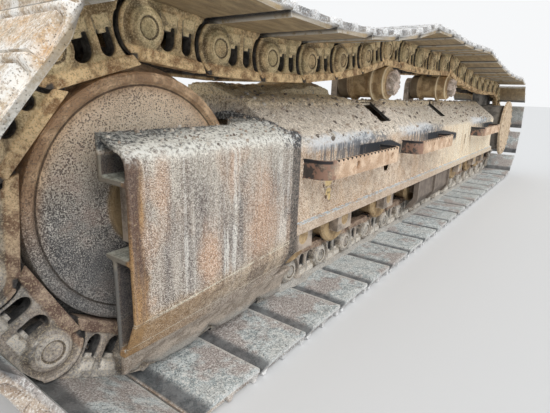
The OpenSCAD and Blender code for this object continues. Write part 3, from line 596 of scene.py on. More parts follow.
def link_solids():
    """The forging's parts in the link's own frame: eye ahead, web with windows, and tail behind."""
    eye, tail = -half_pitch, half_pitch
    tail_cut = round_arc(tail, 0, eye_r + eye_gap, 236, 117, 12)
    holes = [window_outline(*w) for w in windows]
    head = [(eye + 0.036, rail_z), (eye - 0.017, rail_z), *round_arc(
        eye, 0, eye_r, 119, 228, 12), (eye - 0.018, seat_z + 0.004),
        (eye + 0.008, seat_z), (eye + 0.036, seat_z)]
    web = [(eye + 0.03, rail_z), (eye + 0.03, seat_z), *tail_cut]
    inboard = [(eye + 0.045, rail_z), (eye + 0.045, seat_z), (tail - 0.02, seat_z),
               *round_arc(tail, 0, 0.052, -100, 100, 10), (tail - 0.03, rail_z)]
    rim = round_arc(eye, 0, eye_r, 120, 228, 12) + round_arc(eye, 0, eye_r - 0.009, 228, 120, 12)
    rail = [(eye - 0.015, rail_z), (eye - 0.006, rail_z - 0.026),
            (tail - 0.05, rail_z - 0.024), (tail - 0.036, rail_z)]
    foot = [(eye + 0.04, seat_z), (tail - 0.05, seat_z), (tail - 0.06, seat_z + 0.016),
            (eye + 0.05, seat_z + 0.02)]
    solids = [
        prism([web, *holes], split_y - 0.004, web_face),
        prism([inboard, *holes], link_back, split_y),
        prism([head], split_y + 0.004, eye_face - 0.006),
        prism([rim], split_y + 0.004, eye_face + 0.004),
        prism([rail], split_y - 0.01, eye_face),
        prism([foot], split_y - 0.01, eye_face),
        turned_ring([(0.0, split_y), (0.05, split_y), (0.047, web_face), (0.043, eye_face + 0.003),
                     (0.039, eye_face + 0.005), (0.0, eye_face + 0.005)], eye, 0.0, segments=20, full=False)]
    for x, width in windows:
        half = width / 2 + 0.002
        nut = [(x - half, nut_back), (x + half, nut_back), (x + half, web_face), (x + half * 0.6, web_face + 0.007),
               (x - half * 0.6, web_face + 0.007), (x - half, web_face)]
        solids.append(prism([nut], window_low - 0.006, nut_top - 0.01, along="Z"))
        stud = [(x + width * 0.42 * across, split_y + stud_r * up) for across, up in round_arc(0, 0, 1, 0, 300, 5)]
        solids.append(prism([stud], window_low, nut_top, along="Z"))
    return solids


def turned_ring(profile, x, z, segments=32, full=True):
    """Closed profile of (radius, y) turned about an axis across the track."""
    count = len(profile)
    verts, faces = [], []
    for s in range(segments):
        a = 2 * math.pi * s / segments
        verts += [(x + r * math.cos(a), y, z + r * math.sin(a)) for r, y in profile]
    for s in range(segments):
        after = (s + 1) % segments
        for i in range(count if full else count - 1):
            j = (i + 1) % count
            faces.append((s * count + i, s * count + j, after * count + j, after * count + i))
    return solid_mesh(verts, faces)


def applied(block):
    """The mesh of an object with its modifiers applied."""
    return bpy.data.meshes.new_from_object(block.evaluated_get(bpy.context.evaluated_depsgraph_get()))


def forged(solids, voxel, smoothing, triangles):
    """Solids grown into one skin, softened and brought down to a number of triangles."""
    block = placed("forging", joined(solids))
    skin = block.modifiers.new("skin", "REMESH")
    skin.mode, skin.voxel_size = "VOXEL", voxel
    soft = block.modifiers.new("soft", "SMOOTH")
    soft.factor, soft.iterations = 0.5, smoothing
    mesh = applied(block)
    block.modifiers.clear()
    block.data = mesh
    fewer = block.modifiers.new("fewer", "DECIMATE")
    fewer.ratio = min(1.0, triangles / (2 * len(mesh.polygons)))
    mesh = applied(block)
    bpy.data.objects.remove(block)
    return mesh


pin_r = 0.0215
ring_r = 0.0335
ring_profile = [(0.0, eye_face - 0.002), (ring_r + 0.004, eye_face - 0.002), (ring_r + 0.002, eye_face + 0.006),
                (ring_r - 0.003, link_face), (pin_r + 0.003, link_face), (pin_r + 0.001, link_face - 0.004),
                (pin_r - 0.0005, link_face - 0.004), (pin_r - 0.002, link_face - 0.0015), (0.006, link_face - 0.0015),
                (0.0, link_face - 0.003)]
link_mesh = joined([forged(link_solids(), 0.0022, 2, 3700),
                    turned_ring(ring_profile, -half_pitch, 0.0, segments=28, full=False)])


def link_steel():
    f = Finish("link_steel")
    low_down = f.axis("Z").under(0.3, 0.72)
    along, rise, depth = f.mark("along"), f.mark("rise"), f.mark("depth")
    from_pin, from_tail = f.mark("from_pin"), f.mark("from_tail")
    clouds = f.grain(26, 5, 0.6)
    broad = f.grain(9, 3, 0.5)
    crusts = f.grain(75, 5, 0.7)
    pits = f.cells(230)
    dusty = clouds.tones(0.38, 0.6, (0.255, 0.175, 0.088), (0.66, 0.48, 0.26))
    dusty = f.blend(broad.over(0.46, 0.6) * 0.5, dusty, (0.46, 0.4, 0.22))
    grey = clouds.tones(0.34, 0.62, (0.18, 0.172, 0.165), (0.54, 0.515, 0.48))
    grey = f.blend(broad.over(0.46, 0.6) * 0.5, grey, (0.46, 0.375, 0.31))
    f.colour = f.blend(low_down, dusty, grey)
    pale = f.blend(low_down, (0.78, 0.62, 0.36), (0.72, 0.68, 0.62))
    for place, width in windows:
        on_nut = abs(along - place).under(width / 2, width / 2 + 0.003) * rise.under(nut_top, nut_top + 0.004)
        on_nut = on_nut * rise.over(window_low - 0.006, window_low - 0.002) * depth.over(0.09, 0.104)
        f.coat(on_nut * crusts.over(0.34, 0.46) * 0.9, pale)
        # Painted shade along the crease where the nut block's top meets the stud.
        f.coat(on_nut * rise.within(-0.026, -0.02, nut_top - 0.012, nut_top - 0.006) * 0.4, (0.12, 0.09, 0.055))
    # Painted highlight on the boss ring's top face, broken up by crumbs of dust.
    f.coat(f.near(from_pin, 0.028, 0.0045) * crusts.over(0.34, 0.5) * 0.6, pale)
    # Painted shade in the hollow round the boss and in the groove round the pin.
    f.coat(f.near(from_pin, 0.0505, 0.0045) * 0.55, (0.075, 0.052, 0.032))
    f.coat(f.near(from_pin, pin_r + 0.001, 0.0013) * 0.8, (0.06, 0.042, 0.026))
    # Rust-brown rails, painted about twice as bright on the top run: painted light lifting that run's shade.
    rail_tone = clouds.tones(0.4, 0.58, (0.4, 0.225, 0.105), (1.0, 0.72, 0.39))
    rail_tone = f.blend(low_down, rail_tone, clouds.tones(0.4, 0.58, (0.185, 0.105, 0.078), (0.4, 0.275, 0.2)))
    rail = (rise + crusts.sway(0.012)).over(rail_z - 0.03, rail_z - 0.023)
    f.coat(rail * 0.85, rail_tone)
    f.colour = f.speckled(f.colour, (0.84, 0.7, 0.46), (0.085, 0.055, 0.035), 240, 0.42)
    f.coat(pits.under(0.1, 0.22) * 0.5, (0.06, 0.042, 0.03))
    f.coat(f.edges(0.003).over(0.04, 0.28) * 0.45, (0.52, 0.42, 0.29))
    well = depth.within(0.02, 0.03, web_face - 0.009, web_face - 0.003) * rise.under(rail_z - 0.01, rail_z - 0.003)
    cut = from_tail.under(eye_r + eye_gap + 0.001, eye_r + eye_gap + 0.005)
    cut = cut * depth.under(web_face - 0.004, web_face - 0.001)
    dark = well * from_pin.over(0.05, 0.056) | cut * depth.over(0.02, 0.03) * along.over(0.0, 0.02)
    for place, width in windows:
        rim = f.near(abs(along - place), width / 2 + 0.001, 0.001)
        rim = rim * rise.within(window_low - 0.004, window_low, nut_top, nut_top + 0.003)
        dark = dark | rim * depth.over(0.1, 0.104) * crusts.over(0.34, 0.5) * 0.55
    side = depth.under(eye_face - 0.003, eye_face + 0.001) * along.under(-half_pitch - 0.018, -half_pitch - 0.012)
    side = side * (from_pin.over(eye_r - 0.0035, eye_r - 0.001) | rise.over(0.05, 0.056))
    dark = dark | side * depth.over(0.02, 0.03)
    shade = crusts.tones(0.4, 0.6, (0.022, 0.024, 0.028), (0.085, 0.085, 0.085))
    f.coat(dark * 0.93, shade)
    height = clouds * 0.9 + crusts * 0.4 - pits.under(0.05, 0.25) * 0.4
    return f.done(0.86 + clouds * 0.1, height, 0.003)


link_finish = link_steel()
link_marks = (
    ("along", lambda p: p.x),
    ("rise", lambda p: p.z),
    ("depth", lambda p: p.y),
    ("from_pin", lambda p: math.hypot(p.x + half_pitch, p.z)),
    ("from_tail", lambda p: math.hypot(p.x - half_pitch, p.z)))
for side, name in ((1, "outer"), (-1, "inner")):
    mirror = Matrix.Diagonal((1, side, 1, 1))
    row = repeated(link_mesh, [place @ mirror for place in link_places], link_marks, flip=side < 0)
    links = made_object("links_" + name, row, link_finish)
    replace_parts(links, "chain_" + name)


# Bushings
# Hardened tubes pressed into the links' tails, one over each pin, polished by the sprocket.
bushing_r = 0.0325
bushing_profile = [(0.0, -link_back - 0.002), (bushing_r, -link_back - 0.002), (bushing_r, link_back + 0.002),
                   (0.0, link_back + 0.002)]
bushing_places = [Matrix.Translation((pin.x, 0, pin.y)) for pin in pins]
bushing_mesh = turned_ring(bushing_profile, 0, 0, segments=20)
bushings = made_object("bushings", repeated(bushing_mesh, bushing_places), link_finish)
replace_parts(bushings, "chain_bushings")


# Idler wheel
# Cast steel, turned on its treads and guide flange. Its side discs are pitted all over, pale and rusty
# towards the top, with a rusty rim. The upper disc is also painted brighter to lift the top run's shade,
# and the lower part is painted a darker grey as shade.
def box_middle(node):
    """The middle of a node's box as x, y and z."""
    return [(low + high) / 2 for low, high in zip(*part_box(node))]


idler_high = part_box("idler_wheel")[1]
idler_x, _, idler_z = box_middle("idler_wheel")
tread_r = 0.286
flange_r = idler_high.z - idler_z
tread_half = 0.105
flange_half = 0.045
hub_half = idler_high.y
hub_r = 0.11
bore_r = 0.0452
disc_y = 0.0955
rim_inner_r = 0.262


def idler_profile():
    side = [(bore_r, hub_half - 0.004), (bore_r + 0.004, hub_half), (0.08, hub_half), (0.083, hub_half - 0.003),
            (0.086, hub_half - 0.004), (hub_r - 0.004, hub_half - 0.005), (hub_r, hub_half - 0.01),
            (hub_r, disc_y + 0.008), (hub_r + 0.008, disc_y), (0.15, disc_y - 0.001),
            (0.21, disc_y - 0.001), (rim_inner_r - 0.008, disc_y), (rim_inner_r - 0.005, disc_y - 0.002),
            (rim_inner_r - 0.002, disc_y), (rim_inner_r + 0.003, tread_half - 0.002),
            (rim_inner_r + 0.008, tread_half), (tread_r - 0.006, tread_half), (tread_r - 0.001, tread_half - 0.004),
            (tread_r, tread_half - 0.01), (tread_r - 0.001, flange_half + 0.008),
            (tread_r + 0.003, flange_half + 0.003), (flange_r - 0.004, flange_half - 0.002),
            (flange_r, flange_half - 0.006)]
    return side + [(r, -y) for r, y in reversed(side)]


def idler_steel():
    f = Finish("idler_steel")
    dx, dz = f.axis("X") - idler_x, f.axis("Z") - idler_z
    radius = (dx * dx + dz * dz) ** 0.5
    clouds = f.grain(12, 5, 0.62)
    patches = f.grain(38, 4, 0.7)
    blots = f.cells(220)
    fine = f.grain(360, 3, 0.85)
    grit = fine + patches.sway(0.2)
    # The upper disc: dust and rust, in tones painted brighter to lift the shade the top run casts on it.
    high = dz.over(-0.02, 0.22)
    plain = f.layered(
        clouds.tones(0.4, 0.58, (0.17, 0.168, 0.17), (0.33, 0.312, 0.29)),
        (high, (1.0, 0.84, 0.64)),
        (clouds.over(0.5, 0.66) * 0.45, (0.5, 0.35, 0.29)),
        (grit.over(0.52, 0.58) * 0.8, (0.9, 0.85, 0.76)))
    dots = (blots + (0.5 - patches) * 1.3).under(0.2, 0.36) * 0.9
    dots = dots | grit.under(0.38, 0.44) * 0.95
    f.colour = f.blend(dots * 0.88, plain, f.blend(high, (0.085, 0.072, 0.068), (0.19, 0.118, 0.082)))
    # Painted shade: the lower disc is darkened to a blue-grey.
    f.coat(dz.under(-0.16, -0.02) * 0.45, (0.13, 0.135, 0.148))
    halo = radius.over(rim_inner_r - 0.11, rim_inner_r - 0.01) * high * (1 - dots)
    f.coat(halo * 0.5, (0.9, 0.62, 0.4))
    rim = radius.over(rim_inner_r - 0.03, rim_inner_r + 0.002) * dz.over(-0.12, 0.1)
    rim_tone = clouds.tones(0.42, 0.6, (0.5, 0.31, 0.18), (0.95, 0.67, 0.42))
    f.coat(rim * (1 - dots * 0.6), rim_tone)
    hub_tone = clouds.tones(0.4, 0.6, (0.235, 0.16, 0.075), (0.4, 0.28, 0.14))
    f.coat(radius.under(hub_r - 0.002, hub_r + 0.006) * 0.9, hub_tone)
    # Painted shade in the small groove round the hub and in the groove inside the rim.
    f.coat(f.near(radius, 0.0845, 0.002) * 0.8, (0.06, 0.042, 0.028))
    groove = f.near(radius, rim_inner_r - 0.005, 0.0014)
    f.coat(groove * 0.75, (0.05, 0.035, 0.025))
    height = clouds * 0.7 + fine * 0.3 - dots * 0.9
    return f.done(0.66 + fine * 0.28, height, 0.0022)


idler_mesh = turned_ring(idler_profile(), idler_x, idler_z, segments=160)
idler = made_object("idler", idler_mesh, idler_steel(), smooth_angle=28, body="idler")
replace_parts(idler, "idler_wheel")


# Noses
# Folded and welded 12 mm plate on each side of the idler. The outer skin has worn to bare, rusty steel
# with pale runs of dust, and its top and edges are scraped.
nose_low, nose_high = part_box("nose_outer")


def worn_copy(node, voxel, smoothing, triangles, wear):
    """A node's own solid with softened edges and shallow dents, brought down to a number of triangles."""
    mesh = forged([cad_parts[node].data], voxel, smoothing, triangles)
    places = [v.co.copy() for v in mesh.vertices]
    outward = [n.vector.copy() for n in mesh.vertex_normals]
    moved = []
    for place, normal in zip(places, outward):
        broad = noise.noise(place * 9.0)
        small = noise.noise(place * 55.0)
        moved.extend(place - normal * (wear * (0.27 + 0.22 * broad + 0.35 * max(0.0, small - 0.1))))
    mesh.vertices.foreach_set("co", moved)
    return mesh


def worn_piece(node, ending, form, material):
    """A worn copy in the node's place, with form as worn_copy takes it."""
    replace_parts(made_object(node + ending, worn_copy(node, *form), material, smooth_angle=60), node)


def nose_steel():
    f = Finish("nose_steel")
    x, y, z = f.axis("X"), abs(f.axis("Y")), f.axis("Z")
    bands = f.grain(24, 3, 0.55, (1, 1, 0.1))
    runs = f.grain(95, 3, 0.7, (1, 1, 0.035))
    clouds = f.grain(13, 5, 0.62)
    patches = f.grain(5.5, 3, 0.55, (1, 1, 0.45))
    crumbs = f.grain(120, 4, 0.75)
    fine = f.grain(410, 3, 0.85)
    grit = fine + crumbs.sway(0.2)
    up_face = f.upward().over(0.25, 0.7)
    f.colour = bands.tones(0.4, 0.6, (0.13, 0.108, 0.1), (0.46, 0.4, 0.335))
    f.coat(clouds.over(0.46, 0.62) * 0.4, (0.38, 0.34, 0.31))
    f.coat((z + clouds.sway(0.15)).over(0.44, 0.58) * 0.62, (0.63, 0.58, 0.49))
    f.coat(runs.over(0.56, 0.68) * bands.over(0.45, 0.55) * 0.55, (0.66, 0.63, 0.57))
    rust = patches.over(0.49, 0.6) * clouds.over(0.36, 0.54)
    f.coat(rust * 0.68, (0.52, 0.325, 0.2))
    for place, rise, wide, high, share in ((-0.047, 0.345, 0.045, 0.1, 0.85), (-0.235, 0.4, 0.07, 0.15, 0.8),
                                           (-0.125, 0.54, 0.018, 0.08, 0.6), (0.08, 0.54, 0.022, 0.09, 0.5)):
        dx, dz = (x - (idler_x + place)) * (1 / wide), (z - rise) * (1 / high)
        from_middle = (dx * dx + dz * dz) ** 0.5 + clouds.sway(1.3) + runs.sway(0.8)
        f.coat(from_middle.under(0.35, 1.25) * share, (0.6, 0.35, 0.205))
    wobble = clouds.sway(0.03)
    for place, width, share in ((-0.1, 0.005, 0.85), (-0.134, 0.009, 0.75), (0.027, 0.004, 0.8), (-0.33, 0.018, 0.6)):
        run = f.near(x + wobble, idler_x + place, width) * runs.over(0.4, 0.56) * clouds.over(0.34, 0.52)
        f.coat(run * share, (0.78, 0.76, 0.71))
    back, ahead = nose_high.x - x, x - nose_low.x
    front = (back + clouds.sway(0.04)).under(0.022, 0.04)
    stripe = bands.tones(0.42, 0.58, (0.1, 0.045, 0.024), (0.48, 0.26, 0.085))
    stripe = f.blend(crumbs.over(0.56, 0.66) * 0.5, stripe, (0.56, 0.44, 0.25))
    f.coat(front * 0.88, stripe)
    bevel = (z + clouds.sway(0.05) - back * 0.1).under(0.235, 0.285)
    bevel_tone = f.layered(
        bands.tones(0.42, 0.58, (0.235, 0.16, 0.098), (0.56, 0.42, 0.275)),
        (z.under(0.195, 0.225), (0.43, 0.345, 0.275)),
        (crumbs.over(0.52, 0.6) * 0.55, (0.62, 0.51, 0.38)),
        (crumbs.under(0.4, 0.48) * 0.55, (0.17, 0.105, 0.062)))
    f.coat(bevel * 0.8, bevel_tone)
    f.coat(bevel * (back + clouds.sway(0.12)).under(0.05, 0.32) * 0.8, (0.43, 0.235, 0.075))
    for rise, tilt, width in ((0.262, -0.06, 0.0011), (0.256, -0.085, 0.0008), (0.192, -0.055, 0.0009)):
        line = f.near(z + back * tilt + fine.sway(0.006), rise, width) * clouds.over(0.34, 0.46)
        f.coat(line * 0.8, (0.72, 0.66, 0.52))
    bare = 1 - front * 0.85
    f.coat(runs.under(0.4, 0.48) * (1 - bevel) * 0.45, (0.215, 0.15, 0.115))
    f.coat(grit.over(0.53, 0.58) * bare * (1 - bevel * 0.4) * 0.74, (0.9, 0.85, 0.77))
    f.coat(grit.under(0.42, 0.48) * 0.85, (0.07, 0.05, 0.042))
    top_dirt = (z + crumbs.sway(0.05)).over(0.575, 0.622)
    pale = crumbs.tones(0.42, 0.55, (0.5, 0.5, 0.46), (0.98, 0.97, 0.9))
    f.coat(top_dirt * 0.85, pale)
    f.coat(top_dirt * crumbs.under(0.36, 0.45), (0.055, 0.06, 0.068))
    f.coat(up_face * crumbs.over(0.44, 0.55) * 0.8, (0.76, 0.76, 0.715))
    # Painted shade along the top's inboard edge beside the idler, broken up by granular crumbs, widening towards the
    # front.
    inboard = y - ahead * 0.16 + crumbs.sway(0.1)
    inboard = inboard.under(0.09, 0.145) * z.over(0.595, 0.61)
    f.coat(inboard * 0.9, crumbs.tones(0.44, 0.58, (0.06, 0.066, 0.07), (0.36, 0.37, 0.35)))
    rear = (ahead + clouds.sway(0.01)).under(0.06, 0.07)
    rear_tone = crumbs.tones(0.46, 0.6, (0.016, 0.015, 0.016), (0.17, 0.135, 0.11))
    rear_tone = f.blend(fine.over(0.55, 0.62) * 0.8, rear_tone, (0.5, 0.44, 0.38))
    f.coat(rear * 0.9, rear_tone)
    corner = (ahead + clouds.sway(0.06)).under(0.085, 0.12) * z.over(0.565, 0.585)
    f.coat(corner * crumbs.under(0.42, 0.5) * 0.9, (0.045, 0.058, 0.078))
    f.coat(corner * crumbs.over(0.54, 0.6) * 0.8, (0.66, 0.7, 0.72))
    f.coat(ahead.under(0.012, 0.016) * 0.7, (0.42, 0.27, 0.2))
    bar = (ahead + clouds.sway(0.02)).under(0.09, 0.105) * y.under(0.135, 0.165) * z.over(0.6, 0.61)
    f.coat(bar * crumbs.under(0.5, 0.6) * 0.8, (0.1, 0.106, 0.11))
    # Inside the nose's open box, faces that don't face up are painted near-black as shade. Upward faces there get
    # pale dust.
    below_crease = (0.264 - z | 0.0) * 0.51
    inside = (y + below_crease).under(0.222, 0.236) * z.under(0.59, 0.602)
    hollow = f.blend(f.upward().over(0.3, 0.7), fine.tones(0.4, 0.6, (0.03, 0.034, 0.044), (0.13, 0.12, 0.112)),
                     crumbs.tones(0.4, 0.58, (0.25, 0.27, 0.24), (0.46, 0.48, 0.42)))
    f.coat(inside * 0.88, hollow)
    arm_ends = inside * (back + clouds.sway(0.01)).under(0.003, 0.006) * y.under(0.225, 0.23)
    f.coat(arm_ends * 0.6, f.blend(z.under(0.36, 0.375), (0.34, 0.31, 0.25), (0.19, 0.19, 0.18)))
    worn_edge = f.edges(0.005).over(0.04, 0.3) * crumbs.over(0.3, 0.48) * (1 - rear * 0.6) * 0.7
    f.coat(worn_edge, (0.5, 0.465, 0.385))
    height = clouds * 0.5 + fine * 0.35 + crumbs * up_face * 1.5
    return f.done(0.66 + fine * 0.28, height, 0.0025)


nose_finish = nose_steel()
for node in ("nose_outer", "nose_inner"):
    worn_piece(node, "_plate", (0.0035, 2, 60000, 0.0022), nose_finish)
worn_piece("cross_bar", "_plate", (0.003, 2, 4000, 0.001), nose_finish)


# Track frame
# A welded box beam of 12 mm plate. Dirt that falls off the top run lies on its sloping roof, the wall
# behind the steps is painted near-black, and the wall and flange have rusted to a pale tan under dust.
step_nodes = ("step_front", "step_middle", "step_rear")
step_boxes = [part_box(node) for node in step_nodes]


def frame_steel():
    f = Finish("frame_steel")
    x, y, z = f.axis("X"), f.axis("Y"), f.axis("Z")
    clouds = f.grain(9, 5, 0.6)
    crumbs = f.grain(70, 5, 0.7)
    blots = f.grain(24, 5, 0.65)
    fine = f.grain(230, 2, 0.8)
    runs = f.grain(60, 3, 0.6, (1, 1, 0.12))
    wall = f.layered(
        blots.tones(0.38, 0.6, (0.46, 0.32, 0.215), (0.74, 0.59, 0.44)),
        (clouds.over(0.48, 0.62) * 0.5, (0.6, 0.385, 0.22)),
        (x.under(-0.6, 0.4) * 0.78, runs.tones(0.4, 0.6, (0.88, 0.7, 0.45), (1.0, 0.92, 0.72))),
        (runs.over(0.54, 0.66) * 0.3, (0.66, 0.58, 0.48)),
        (runs.under(0.36, 0.44) * 0.3, (0.3, 0.175, 0.11)))
    roof = f.layered(
        crumbs.tones(0.38, 0.6, (0.44, 0.385, 0.325), (0.9, 0.82, 0.71)),
        (clouds.over(0.46, 0.62) * 0.5, (0.62, 0.55, 0.45)),
        (x.under(0.1, 0.6) * 0.6, (0.38, 0.34, 0.27)))
    # Under the chain, the packed dirt and the leg seat are painted brighter: painted light lifting the chain's shade.
    under_chain = (z + blots.sway(0.04)).over(0.655, 0.7)
    roof = f.layered(
        roof,
        (under_chain * 0.75, crumbs.tones(0.42, 0.58, (0.56, 0.42, 0.225), (1.0, 0.8, 0.48))),
        (z.over(0.7, 0.712) * x.over(0.84, 0.86) * 0.9, (1.0, 0.82, 0.5)))
    on_roof = (z + crumbs.sway(0.035)).over(0.545, 0.575)
    f.colour = f.blend(on_roof, wall, roof)
    f.coat(fine.over(0.52, 0.6) * 0.7, (0.9, 0.84, 0.74))
    f.coat(fine.under(0.39, 0.47) * 0.7, (0.17, 0.105, 0.07))
    f.coat(on_roof * crumbs.under(0.32, 0.39) * 0.85, (0.085, 0.07, 0.052))
    f.coat(on_roof * blots.under(0.36, 0.42) * 0.5, (0.22, 0.19, 0.15))
    level = z + blots.sway(0.05) + crumbs.sway(0.03)
    for low, high in step_boxes:
        along = x + clouds.sway(0.2) + blots.sway(0.1)
        rubbed = along.within(low.x + 0.02, low.x + 0.16, high.x - 0.1, high.x + 0.06)
        rubbed = rubbed * level.within(0.53, 0.556, 0.574, 0.6)
        f.coat(rubbed * crumbs.over(0.3, 0.5) * 0.8, (0.66, 0.7, 0.74))
        smear = along.within(low.x - 0.12, low.x - 0.05, low.x + 0.2, low.x + 0.38)
        f.coat(smear * level.within(0.5, 0.53, 0.56, 0.585) * crumbs.under(0.48, 0.58) * 0.75,
               (0.11, 0.135, 0.165))
        # The wall behind each step's rear end is painted near-black, up to a line that falls further behind the step.
        tail = 0.25 + 0.18 * (low.x < 0.5)
        fall = (low.x - 0.11 - x | 0.0) * (0.033 / (tail - 0.11))
        dark_behind_step = (z + fall + crumbs.sway(0.01)).under(0.534, 0.54) * x.over(low.x - tail, low.x - tail + 0.02)
        dark_behind_step = dark_behind_step * (x + runs.sway(0.3)).under(low.x + 0.16, low.x + 0.3) * z.over(0.45, 0.48) * y.over(0.17, 0.19)
        f.coat(dark_behind_step * 0.96, (0.012, 0.018, 0.028))
        # Painted shade: dark blue-grey streaks on the wall behind each step bar, below its teeth.
        bluish = (z + crumbs.sway(0.02)).under(0.55, 0.562) * z.over(0.47, 0.485) * y.over(0.17, 0.19)
        bluish = bluish * x.within(low.x + 0.14, low.x + 0.26, high.x - 0.16, high.x) * runs.over(0.42, 0.56)
        f.coat(bluish * 0.75, (0.06, 0.088, 0.125))
    # Painted shade: the side walls of the roof's slots are painted near-black.
    in_slot = f.sideways().over(0.4, 0.6) * z.over(0.555, 0.565) * x.within(-0.95, -0.94, 0.75, 0.76)
    f.coat(in_slot * 0.95, (0.006, 0.006, 0.007))
    flange_top = f.near(z, 0.32, 0.0022) * (crumbs + fine * 0.5).over(0.68, 0.8)
    f.coat(flange_top, (0.52, 0.6, 0.65))
    f.coat(z.under(0.314, 0.319) * 0.5, (0.5, 0.4, 0.31))
    for place, rise, size in ((0.665, 0.435, 0.022), (0.668, 0.392, 0.014), (0.672, 0.372, 0.009)):
        dx, dz = (x - (idler_x - place)) * 0.8, (z - rise) * 0.9
        spot = (dx * dx + dz * dz) ** 0.5 + crumbs.sway(0.035)
        f.coat(spot.under(size * 0.8, size * 1.2) * y.over(0.19, 0.2) * 0.75, (0.8, 0.6, 0.26))
        f.coat(f.near(spot, size * 1.25, size * 0.16) * crumbs.under(0.44, 0.52) * y.over(0.19, 0.2),
               (0.1, 0.055, 0.03))
    f.coat(f.edges(0.004).over(0.05, 0.3) * 0.5, (0.64, 0.62, 0.58))
    height = clouds * 0.4 + crumbs * (0.25 + on_roof * 0.5) + fine * 0.3
    return f.done(0.78 + fine * 0.2, height, 0.003)


def dressed(node, material):
    """The node stays as it is and takes a material."""
    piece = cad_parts[node]
    piece.data.materials.clear()
    piece.data.materials.append(material)
    piece.data.set_sharp_from_angle(angle=math.radians(35))


frame_finish = frame_steel()
dressed("track_frame", frame_finish)
dressed("leg_seat", frame_finish)


# Mud and clods
# What falls off the top run dries on every upper face as a crust with clods in it, and is packed under
# the run beside the leg seat. Wet clay hangs below the nose and lies along the links' feet.
def surface_below(nodes):
    """The faces of some nodes, to be met by a ray from above."""
    solids = joined([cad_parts[node].data for node in nodes])
    return BVHTree.FromPolygons([v.co for v in solids.vertices], [p.vertices for p in solids.polygons])


def dropped(below, x, y):
    """Where a thing let fall at (x, y) comes to rest on an upper face, or None."""
    spot, normal, _, _ = below.ray_cast(Vector((x, y, high_above)), Vector((0, 0, -1)))
    return spot if spot is not None and normal.z > 0.3 else None


def crust(nodes, low, high, step, thickness):
    """A closed skin over the upper faces of nodes between two (x, y) corners. thickness is a function of
    a place, and the skin dives into the plate along its edges."""
    edge_dive, skin_depth, steepest = 0.002, 0.006, 3 * step
    below = surface_below(nodes)
    columns, rows = int((high[0] - low[0]) / step), int((high[1] - low[1]) / step)
    spots = {}
    for i in range(columns + 1):
        for j in range(rows + 1):
            spot = dropped(below, low[0] + i * step, low[1] + j * step)
            if spot is not None:
                spots[i, j] = spot
    cells = []
    for i in range(columns):
        for j in range(rows):
            ring = [(i, j), (i + 1, j), (i + 1, j + 1), (i, j + 1)]
            heights = [spots[c].z for c in ring if c in spots]
            if len(heights) == 4 and max(heights) - min(heights) < steepest:
                cells.append(ring)
    shared = {}
    for ring in cells:
        for corner in ring:
            shared[corner] = shared.get(corner, 0) + 1
    order = {corner: number for number, corner in enumerate(shared)}
    verts = []
    for corner in order:
        rise = thickness(spots[corner]) if shared[corner] == 4 else -edge_dive
        verts.append(spots[corner] + Vector((0, 0, rise)))
    verts += [spots[corner] - Vector((0, 0, skin_depth)) for corner in order]
    faces, sides = [], {}
    for ring in cells:
        numbers = [order[c] for c in ring]
        faces += [tuple(numbers), tuple(n + len(order) for n in reversed(numbers))]
        for a, b in zip(numbers, numbers[1:] + numbers[:1]):
            if (b, a) in sides:
                del sides[b, a]
            else:
                sides[a, b] = True
    faces += [(a, a + len(order), b + len(order), b) for a, b in sides]
    return solid_mesh(verts, faces)


def thin_dirt(least, lumps, lump_size, grain_size):
    """Thickness of a thin crust, as a function of a place. Sizes are per metre."""
    return lambda p: least + lumps * max(0.0, noise.noise(p * lump_size)) + 0.003 * noise.noise(p * grain_size)


def packed_dirt(p):
    """A heap under the rails on the leg seat, and a thinner crust beside it."""
    seat_height, rail_foot_z = 0.715, 0.7485
    lumps = 0.006 + 0.006 * noise.noise(p * 22) + 0.004 * noise.noise(p * 70)
    behind = clamped((1.3 - p.x) / 0.3)
    heap = 0.03 * behind * clamped((p.x - 0.87) / 0.13)
    return min(max(0.001, lumps + heap), rail_foot_z + 0.024 * behind - p.z) if p.z > seat_height else lumps * 0.7


def clod():
    """One stone of about unit radius."""
    chance = random.Random(3)
    work = bmesh.new()
    bmesh.ops.create_icosphere(work, subdivisions=1, radius=1.0)
    for vertex in work.verts:
        vertex.co *= chance.uniform(0.72, 1.15)
        vertex.co.z *= 0.75
    mesh = bpy.data.meshes.new("clod")
    work.to_mesh(mesh)
    work.free()
    return mesh


def clods(nodes, low, high, count, small, large, seed):
    """Stones lying on the upper faces of nodes, most of them small."""
    below, chance, places = surface_below(nodes), random.Random(seed), []
    for _ in range(count):
        x, y = chance.uniform(low[0], high[0]), chance.uniform(low[1], high[1])
        spot = dropped(below, x, y)
        size = small + (large - small) * chance.random() ** 5
        turn = Matrix.Rotation(chance.uniform(0, 6.28), 4, Vector((chance.random(), chance.random(), 1)).normalized())
        if spot is not None:
            places.append(Matrix.Translation(spot + Vector((0, 0, size * 0.25))) @ turn @ Matrix.Scale(size, 4))
    return repeated(clod(), places)


def mud_along(low_x, high_x, section, roughness):
    """Mud between two places along the track. section gives its outline as (y, z) at a place."""
    step, verts = 0.005, []
    rings = int((high_x - low_x) / step)
    for i in range(rings + 1):
        x = low_x + i * step
        outline = section(x)
        middle = sum((Vector(p) for p in outline), Vector((0, 0))) / len(outline)
        for y, z in outline:
            spot = Vector((x, y, z))
            push = roughness * (noise.noise(spot * 35) + 0.6 * noise.noise(spot * 90))
            out = (Vector((y, z)) - middle).normalized() * push
            verts.append((x + 0.4 * push, y + out.x, z + out.y))
    return rod(verts, rings + 1, len(outline))


def rounded_section(corners, steps):
    """Points along a closed outline of corners, pulled a little towards a smooth loop."""
    points = []
    for k, corner in enumerate(corners):
        after = corners[(k + 1) % len(corners)]
        points += [Vector(corner).lerp(Vector(after), s / steps) for s in range(steps)]
    count = len(points)
    return [(points[k - 1] + points[k] + points[(k + 1) % count]) / 3 for k in range(count)]


